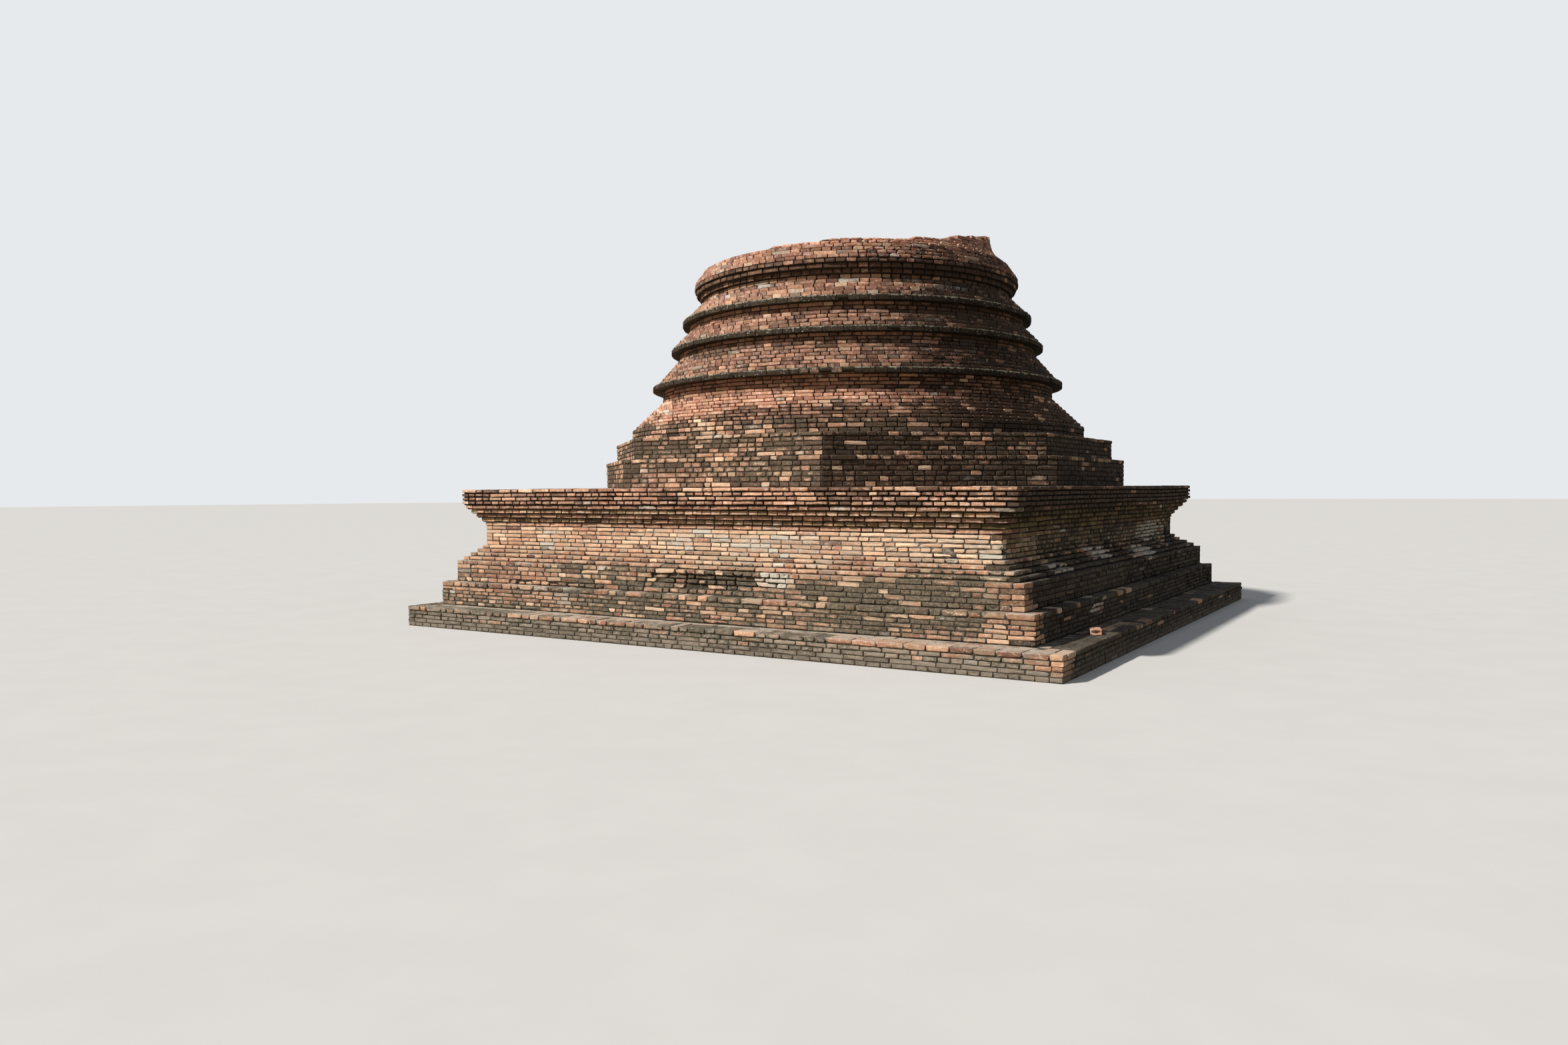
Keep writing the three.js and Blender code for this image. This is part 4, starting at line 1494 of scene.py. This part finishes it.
def layRoundCourse(work, radius, low, height, stretchers, depth, span=None, lostShare=0.002):
    rng = work["rng"]
    first, last = span or (0.0, 2 * math.pi)
    lengths = splitRun((last - first) * radius, stretchers, rng, 0.11)[0]
    count = len(lengths)
    shares = lengths / radius
    start = first if span else rng.uniform(0, 2 * math.pi)
    bearing = start + np.cumsum(shares) - shares / 2
    outward = np.column_stack([np.cos(bearing), np.sin(bearing), np.zeros(count)])
    along = np.column_stack([-np.sin(bearing), np.cos(bearing), np.zeros(count)])
    brickHeight = height - work["bed"] * rng.uniform(0.75, 1.35, count)
    brickLength = shares * radius - work["upright"] * rng.uniform(0.6, 1.5, count)
    centre = onCircle(radius, bearing, low + height - brickHeight / 2)
    wear, back = wearAt(centre)
    lost = rng.random(count) < lostShare
    loose = rng.normal(0, flaw("outOfRound", wear), count)
    push = loose - back - np.where(lost, rng.uniform(0.03, 0.07, count), 0)
    wear = np.clip(wear + work["wear"] * rng.uniform(0.4, 1.6, count), 0, 1)
    addBricks(work, centre, along, outward, brickLength, brickHeight, depth, wear, push,
              pinch=brickLength / 2 / radius)


def roundBody(work, levels, radii, joints, around=120):
    bearing = np.arange(around) / around * 2 * math.pi
    rings = []
    for low, high, radius in zip(levels[:-1], levels[1:], radii):
        for z in (low, high - 0.005):
            rings.append(onCircle(radius - joints["recess"], bearing, z))
    work["bodies"].append(ringBody(rings, joints))


# what the necks have in common, and the slopes
neckPaint = {"tone": 0.40, "brown": 0.1, "blackCrust": (0.36, 0.78), "patchy": 0.55, "dust": (0.08, 0.04),
             "bare": (0.22, 0.1), "shade": (0.95, 0.75)}
neckLaying = {"wear": 0.14, "bed": 0.006, "upright": 0.006}
neckJoints = {"recess": 0.013, "crust": 0.15}
slopeLaying = {"wear": 0.14, "upright": 0.0066}
slopeJoints = {"recess": 0.022, "crust": 0.2, "light": 0.12}

# the round tiers: how many courses, the share of bricks laid lengthwise and how deep the bricks reach
roundTiers = {
    "round_plinth": {
        "courses": 3, "stretchers": 0.3, "depth": 0.14, "finish": "grimedBrick", "laying": {"wear": 0.2},
        "joints": {"recess": 0.016, "light": 0.7},
        "paint": {"tone": 0.50, "spread": 0.11, "grey": 0.04, "brown": 0.05, "blackCrust": (0.66, 0.96),
                  "patchy": 0.45, "dust": (0.18, 0.1), "bare": (0.36, 0.1), "lichen": (0.1, 0.35),
                  "mossTint": (0.05, 0.15), "greyTint": (0.2, 0.3), "shade": (1.05, 0.8)},
    },
    "plinth_slope": {
        "courses": 8, "stretchers": 0.24, "depth": 0.136, "lowGrime": 0.46, "dampCourses": 1,
        "finish": "redBrick", "laying": {"wear": 0.14}, "joints": {**slopeJoints, "light": 0.2},
        "paint": {"tone": 0.43, "spread": 0.11, "brown": 0.05, "blackCrust": (0.13, 0.62),
                  "dust": (0.16, 0.04), "bare": (0.34, 0.12), "lichen": (0.06, 0.3),
                  "greyTint": (0.14, 0.22), "bareTone": 0.08, "shade": (1.3, 1.0)},
    },
    "lower_neck": {
        "courses": 4, "stretchers": 0.3, "depth": 0.12, "finish": "shadedBrick",
        "laying": neckLaying, "joints": neckJoints,
        "paint": {**neckPaint, "tone": 0.42, "blackCrust": (0.34, 0.78), "shade": (1.0, 0.78)},
    },
    "lower_ring_slope": {
        "courses": 7, "stretchers": 0.2, "depth": 0.136, "lowGrime": 0.18, "dampCourses": 2,
        "finish": "redBrick", "laying": slopeLaying, "joints": slopeJoints,
        "paint": {"tone": 0.36, "grey": 0.04, "brown": 0.06, "blackCrust": (0.2, 0.6), "patchy": 0.4,
                  "dust": (0.28, 0.02), "bare": (0.3, 0.1), "lichen": (0.06, 0.3), "bareTone": 0.16,
                  "shade": (0.9, 0.54)},
    },
    "middle_neck": {
        "courses": 2, "stretchers": 0.3, "depth": 0.12, "finish": "shadedBrick",
        "laying": neckLaying, "joints": neckJoints, "paint": neckPaint,
    },
    "middle_ring_slope": {
        "courses": 4, "stretchers": 0.2, "depth": 0.136, "lowGrime": 0.18, "dampCourses": 1,
        "finish": "redBrick", "laying": slopeLaying, "joints": slopeJoints,
        "paint": {"tone": 0.37, "grey": 0.04, "brown": 0.06, "blackCrust": (0.18, 0.6), "patchy": 0.4,
                  "dust": (0.28, 0.02), "bare": (0.26, 0.1), "lichen": (0.06, 0.3), "bareTone": 0.16,
                  "shade": (0.88, 0.56)},
    },
    "upper_neck": {
        "courses": 2, "stretchers": 0.3, "depth": 0.12, "finish": "shadedBrick",
        "laying": neckLaying, "joints": neckJoints, "paint": neckPaint,
    },
    "upper_ring_slope": {
        "courses": 4, "stretchers": 0.22, "depth": 0.136, "lowGrime": 0.14, "dampCourses": 1,
        "finish": "redBrick", "laying": slopeLaying, "joints": slopeJoints,
        "paint": {"tone": 0.42, "spread": 0.11, "grey": 0.06, "brown": 0.06, "blackCrust": (0.12, 0.56),
                  "patchy": 0.4, "dust": (0.26, 0.06), "bare": (0.32, 0.12), "lichen": (0.06, 0.3),
                  "greyTint": (0.14, 0.14), "bareTone": 0.08, "limed": 0.07, "lime": (0.1, 0.0),
                  "shade": (1.04, 0.7)},
    },
    "bell_neck": {
        "courses": 1, "stretchers": 0.2, "depth": 0.12, "finish": "shadedBrick", "laying": {"wear": 0.18},
        "joints": {"recess": 0.018, "light": 0.6},
        "paint": {"tone": 0.52, "spread": 0.11, "blackCrust": (0.22, 0.75), "dust": (0.2, 0.1),
                  "bare": (0.25, 0.1), "mossTint": (0.1, 0.1), "greyTint": (0.22, 0.22),
                  "shade": (1.0, 0.76)},
    },
    # painted shade: the corbels and the lip are darkened for the shadow under the bell's lip
    "bell_corbels": {
        "courses": 2, "stretchers": 0.15, "depth": 0.2, "finish": "shadedBrick",
        "laying": {"wear": 0.16, "bed": 0.0048}, "joints": {"recess": 0.011, "crust": 0.2, "light": 0.45},
        "paint": {"tone": 0.48, "spread": 0.12, "blackCrust": (0.74, 0.94), "dust": (0.12, 0.1),
                  "bare": (0.18, 0.1), "mossTint": (0.15, 0.1), "shade": (0.66, 0.52)},
    },
    "bell_lip": {
        "courses": 1, "stretchers": 0.15, "depth": 0.22, "finish": "brokenBrick",
        "laying": {"wear": 0.18, "bed": 0.0056}, "joints": {"recess": 0.012, "crust": 0.2, "light": 0.45},
        "paint": {"tone": 0.42, "spread": 0.11, "brown": 0.08, "blackCrust": (0.62, 0.86), "patchy": 0.55,
                  "bare": (0.25, 0.1), "greyTint": (0.18, 0.2), "shade": (0.8, 0.62)},
    },
    "bell_foot": {
        "courses": 4, "stretchers": 0.26, "depth": 0.14, "finish": "brokenBrick",
        "laying": {"wear": 0.1, "upright": 0.0066}, "joints": {"recess": 0.022, "crust": 0.15, "light": 0.2},
        "paint": {"tone": 0.4, "spread": 0.11, "grey": 0.08, "brown": 0.06, "blackCrust": (0.16, 0.5),
                  "patchy": 0.35, "dust": (0.22, 0.04), "bare": (0.32, 0.15), "greyTint": (0.18, 0.12),
                  "bareTone": 0.08, "shade": (1.04, 0.68)},
    },
}


# extra crust on the highest courses of each slope, partly damp growth and partly painted shadow of the ring
# above
dampAndShadowCrust = 0.32


def makeRoundTier(name, tier, seed):
    tier = {**commonTier, **tier}
    work = newWork(seed, **tier["laying"])
    courses = tier["courses"]
    levels, radii = nodeRings(name, courses)
    for course, radius in enumerate(radii):
        work["grime"] = tier["lowGrime"] * (1 - course / max(1, courses - 1))
        # the highest courses of a slope get extra crust: damp growth under the ring above, and painted shadow
        # of that ring
        if course >= courses - tier["dampCourses"]:
            work["grime"] += dampAndShadowCrust
        swing = 0.14 if course % 2 else -0.14
        layRoundCourse(work, radius, levels[course], levels[course + 1] - levels[course],
                       tier["stretchers"] + swing, tier["depth"])
    roundBody(work, levels, radii, tier["joints"])
    return makePiece(name, tier["finish"], work, tier["paint"])


for number, (name, tier) in enumerate(roundTiers.items()):
    total += makeRoundTier(name, tier, 300 + number)
print("round tiers laid,", total, "bricks so far")

# the three flat rings: one course of radial bricks with a thick dark growth on it
flatRings = {
    "stretchers": 0.05,
    "depth": 0.25,
    "laying": {"wear": 0.1, "bed": 0.002, "upright": 0.002, "rounding": -0.0012},
    "joints": {"recess": 0.004, "light": 0.9},
    "paint": {"tone": 0.42, "blackCrust": (0.95, 0.99), "patchy": 0.15, "dust": 0.05, "bare": 0.0,
              "lichen": (0.6, 0.5), "mossTint": (0.15, 0.2), "limed": 0.0},
}


def makeFlatRing(name, settings, seed):
    low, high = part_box(name)
    work = newWork(seed, **settings["laying"])
    radius = (high.x - low.x) / 2
    layRoundCourse(work, radius, low.z, high.z - low.z, settings["stretchers"], settings["depth"])
    roundBody(work, [low.z + 0.006, high.z], [radius], settings["joints"])
    return makePiece(name, "lichenBrick", work, settings["paint"])


for number, name in enumerate(("lower_ring", "middle_ring", "upper_ring")):
    total += makeFlatRing(name, flatRings, 400 + number)
print("flat rings laid,", total, "bricks so far")

# what is left of the bell: each course is cut by a straight break that faces away from the high side
brokenBell = {
    "highBearing": math.radians(58),
    "courses": 10,
    "stretchers": 0.12,
    "depth": 0.15,
    "laying": {"wear": 0.35},
    "breakStretchers": 0.65,
    "breakWear": 0.6,
    "breakRagged": 0.035,
    "endRagged": 0.06,
    "fillRecess": 0.03,
    "joints": {"pale": 0.15, "light": 0.5},
    "paint": {"tone": 0.38, "blackCrust": (-0.16, 0.06), "patchy": 0.25, "dust": (0.2, 0.04),
              "bare": (0.3, 0.1), "lichen": (0.04, 0.06), "greyTint": (0.1, 0.04), "bareTone": 0.1,
              "shade": (1.42, 0.95)},
}


# how high, wide and long the arc of one broken course is, read from its solid
def brokenShape(name):
    points = np.array([vertex.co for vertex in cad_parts[name].data.vertices])
    fromAxis = points[:, :2] - axis
    reach = np.linalg.norm(fromAxis, axis=1)
    radius = reach.max()
    outer = fromAxis[reach > radius - 0.004]
    turn = np.arctan2(outer[:, 1], outer[:, 0]) - brokenBell["highBearing"]
    half = np.abs((turn + math.pi) % (2 * math.pi) - math.pi).max()
    return {"name": name, "low": points[:, 2].min(), "high": points[:, 2].max(), "radius": radius,
            "half": half, "cut": radius * math.cos(half)}


def makeBrokenCourse(shape, nextCut, settings, seed):
    work = newWork(seed, **settings["laying"])
    bearing = settings["highBearing"]
    towards = np.array([math.cos(bearing), math.sin(bearing)])
    height = shape["high"] - shape["low"]
    radius = shape["radius"]
    ragged = work["rng"].uniform(0.0, settings["endRagged"])
    span = (bearing - shape["half"] + ragged, bearing + shape["half"] - ragged)
    layRoundCourse(work, radius, shape["low"], height, settings["stretchers"], settings["depth"], span, 0.0)
    # rows run along the break, from its edge to a little way under the next course
    inside = {"middle": axis, "radius": radius - settings["depth"] - 0.006}
    firstRow = axis @ towards + shape["cut"]
    lastRow = min(axis @ towards + nextCut + 0.3, axis @ towards + inside["radius"])
    direction = (towards[1], -towards[0])
    paveArea(work, inside, None, shape["high"], height - 0.006, direction, (firstRow, lastRow),
             settings["breakWear"], settings["breakStretchers"], ragged=settings["breakRagged"])
    recess = settings["fillRecess"]
    half = math.acos(min(1, (shape["cut"] + 0.05) / (radius - recess)))
    arc = onCircle(radius - recess, np.linspace(bearing - half, bearing + half, 72), 0.0)
    ring = np.concatenate([arc, np.linspace(arc[-1], arc[0], 26)[1:-1]])
    rings = [ring + (0, 0, z) for z in (shape["low"] - 0.004, shape["high"] - 0.007)]
    work["bodies"].append(ringBody(rings, settings["joints"]))
    return makePiece(shape["name"], "brokenBrick", work, settings["paint"])


shapes = [brokenShape(f"broken_bell_course_{number + 1:02d}") for number in range(brokenBell["courses"])]
nextCuts = [shape["cut"] for shape in shapes[1:]] + [shapes[-1]["radius"]]
for number, (shape, nextCut) in enumerate(zip(shapes, nextCuts)):
    total += makeBrokenCourse(shape, nextCut, brokenBell, 500 + number)
print("broken bell laid,", total, "bricks in all")

# the two loose pieces: a whole brick on the foundation and a fragment on the lower octagon
loosePieces = {
    "loose_brick": {
        "turn": math.radians(110), "size": (0.205, 0.108, 0.052), "tone": 0.5, "round": 0.008, "hollow": 0.03,
    },
    "brick_fragment": {
        "turn": math.radians(45), "size": (0.118, 0.074, 0.046), "tone": 0.44, "round": 0.014, "hollow": 0.0,
    },
}
looseLook = {"clayLevelAndPaintedLight": 1.05, "blackCrust": 0.15, "dust": 0.2, "mossTint": 0.0, "lime": 0.0, "lichen": 0.1,
             "ownPattern": 7.0, "crustLight": 0.9, "greyTint": 0.15, "faceEdge": 0.4}


def makeLoosePiece(name, settings):
    low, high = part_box(name)
    centre = (low + high) / 2
    size = Vector(settings["size"])
    shape = bmesh.new()
    bmesh.ops.create_cube(shape, size=1)
    bmesh.ops.scale(shape, vec=size, verts=shape.verts)
    bmesh.ops.bevel(shape, geom=shape.edges[:], offset=settings["round"], segments=2, profile=0.6,
                    affect="EDGES")
    bmesh.ops.subdivide_edges(shape, edges=shape.edges[:], cuts=3, use_grid_fill=True)
    for vertex in shape.verts:
        push = noise.fractal(vertex.co * 26, 0.8, 2.1, 4) * 0.004
        away = vertex.co.normalized()
        # one end is broken off at a slant, and the other end is hollowed out
        slant = max(0.0, vertex.co.x / size.x + 0.35 * vertex.co.y / size.y - 0.42) * 0.05
        middle = max(0.0, 1 - 2.6 * abs(vertex.co.y) / size.y) * max(0.0, 1 - 2.6 * abs(vertex.co.z) / size.z)
        hollow = settings["hollow"] * min(1, 2 * middle) if vertex.co.x < -0.49 * size.x else 0.0
        vertex.co += away * push + Vector((hollow - slant, 0, 0))
        vertex.co.z = max(vertex.co.z, -size.z / 2)
    shape.transform(Matrix.Translation(centre) @ Matrix.Rotation(settings["turn"], 4, "Z"))
    mesh = bpy.data.meshes.new(name + "_worn")
    shape.to_mesh(mesh)
    shape.free()
    mesh.polygons.foreach_set("use_smooth", np.ones(len(mesh.polygons), bool))
    setValues(mesh, {"clayTone": settings["tone"], **looseLook})
    mesh.materials.append(materials["redBrick"])
    piece = bpy.data.objects.new(name + "_worn", mesh)
    scene.collection.objects.link(piece)
    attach(piece, "root")
    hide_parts(name)


for name, settings in loosePieces.items():
    makeLoosePiece(name, settings)
print("loose pieces are in place")

faces = sum(
    sum(len(polygon.vertices) - 2 for polygon in piece.data.polygons)
    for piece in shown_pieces() if piece.type == "MESH")
print("triangles in all:", faces)
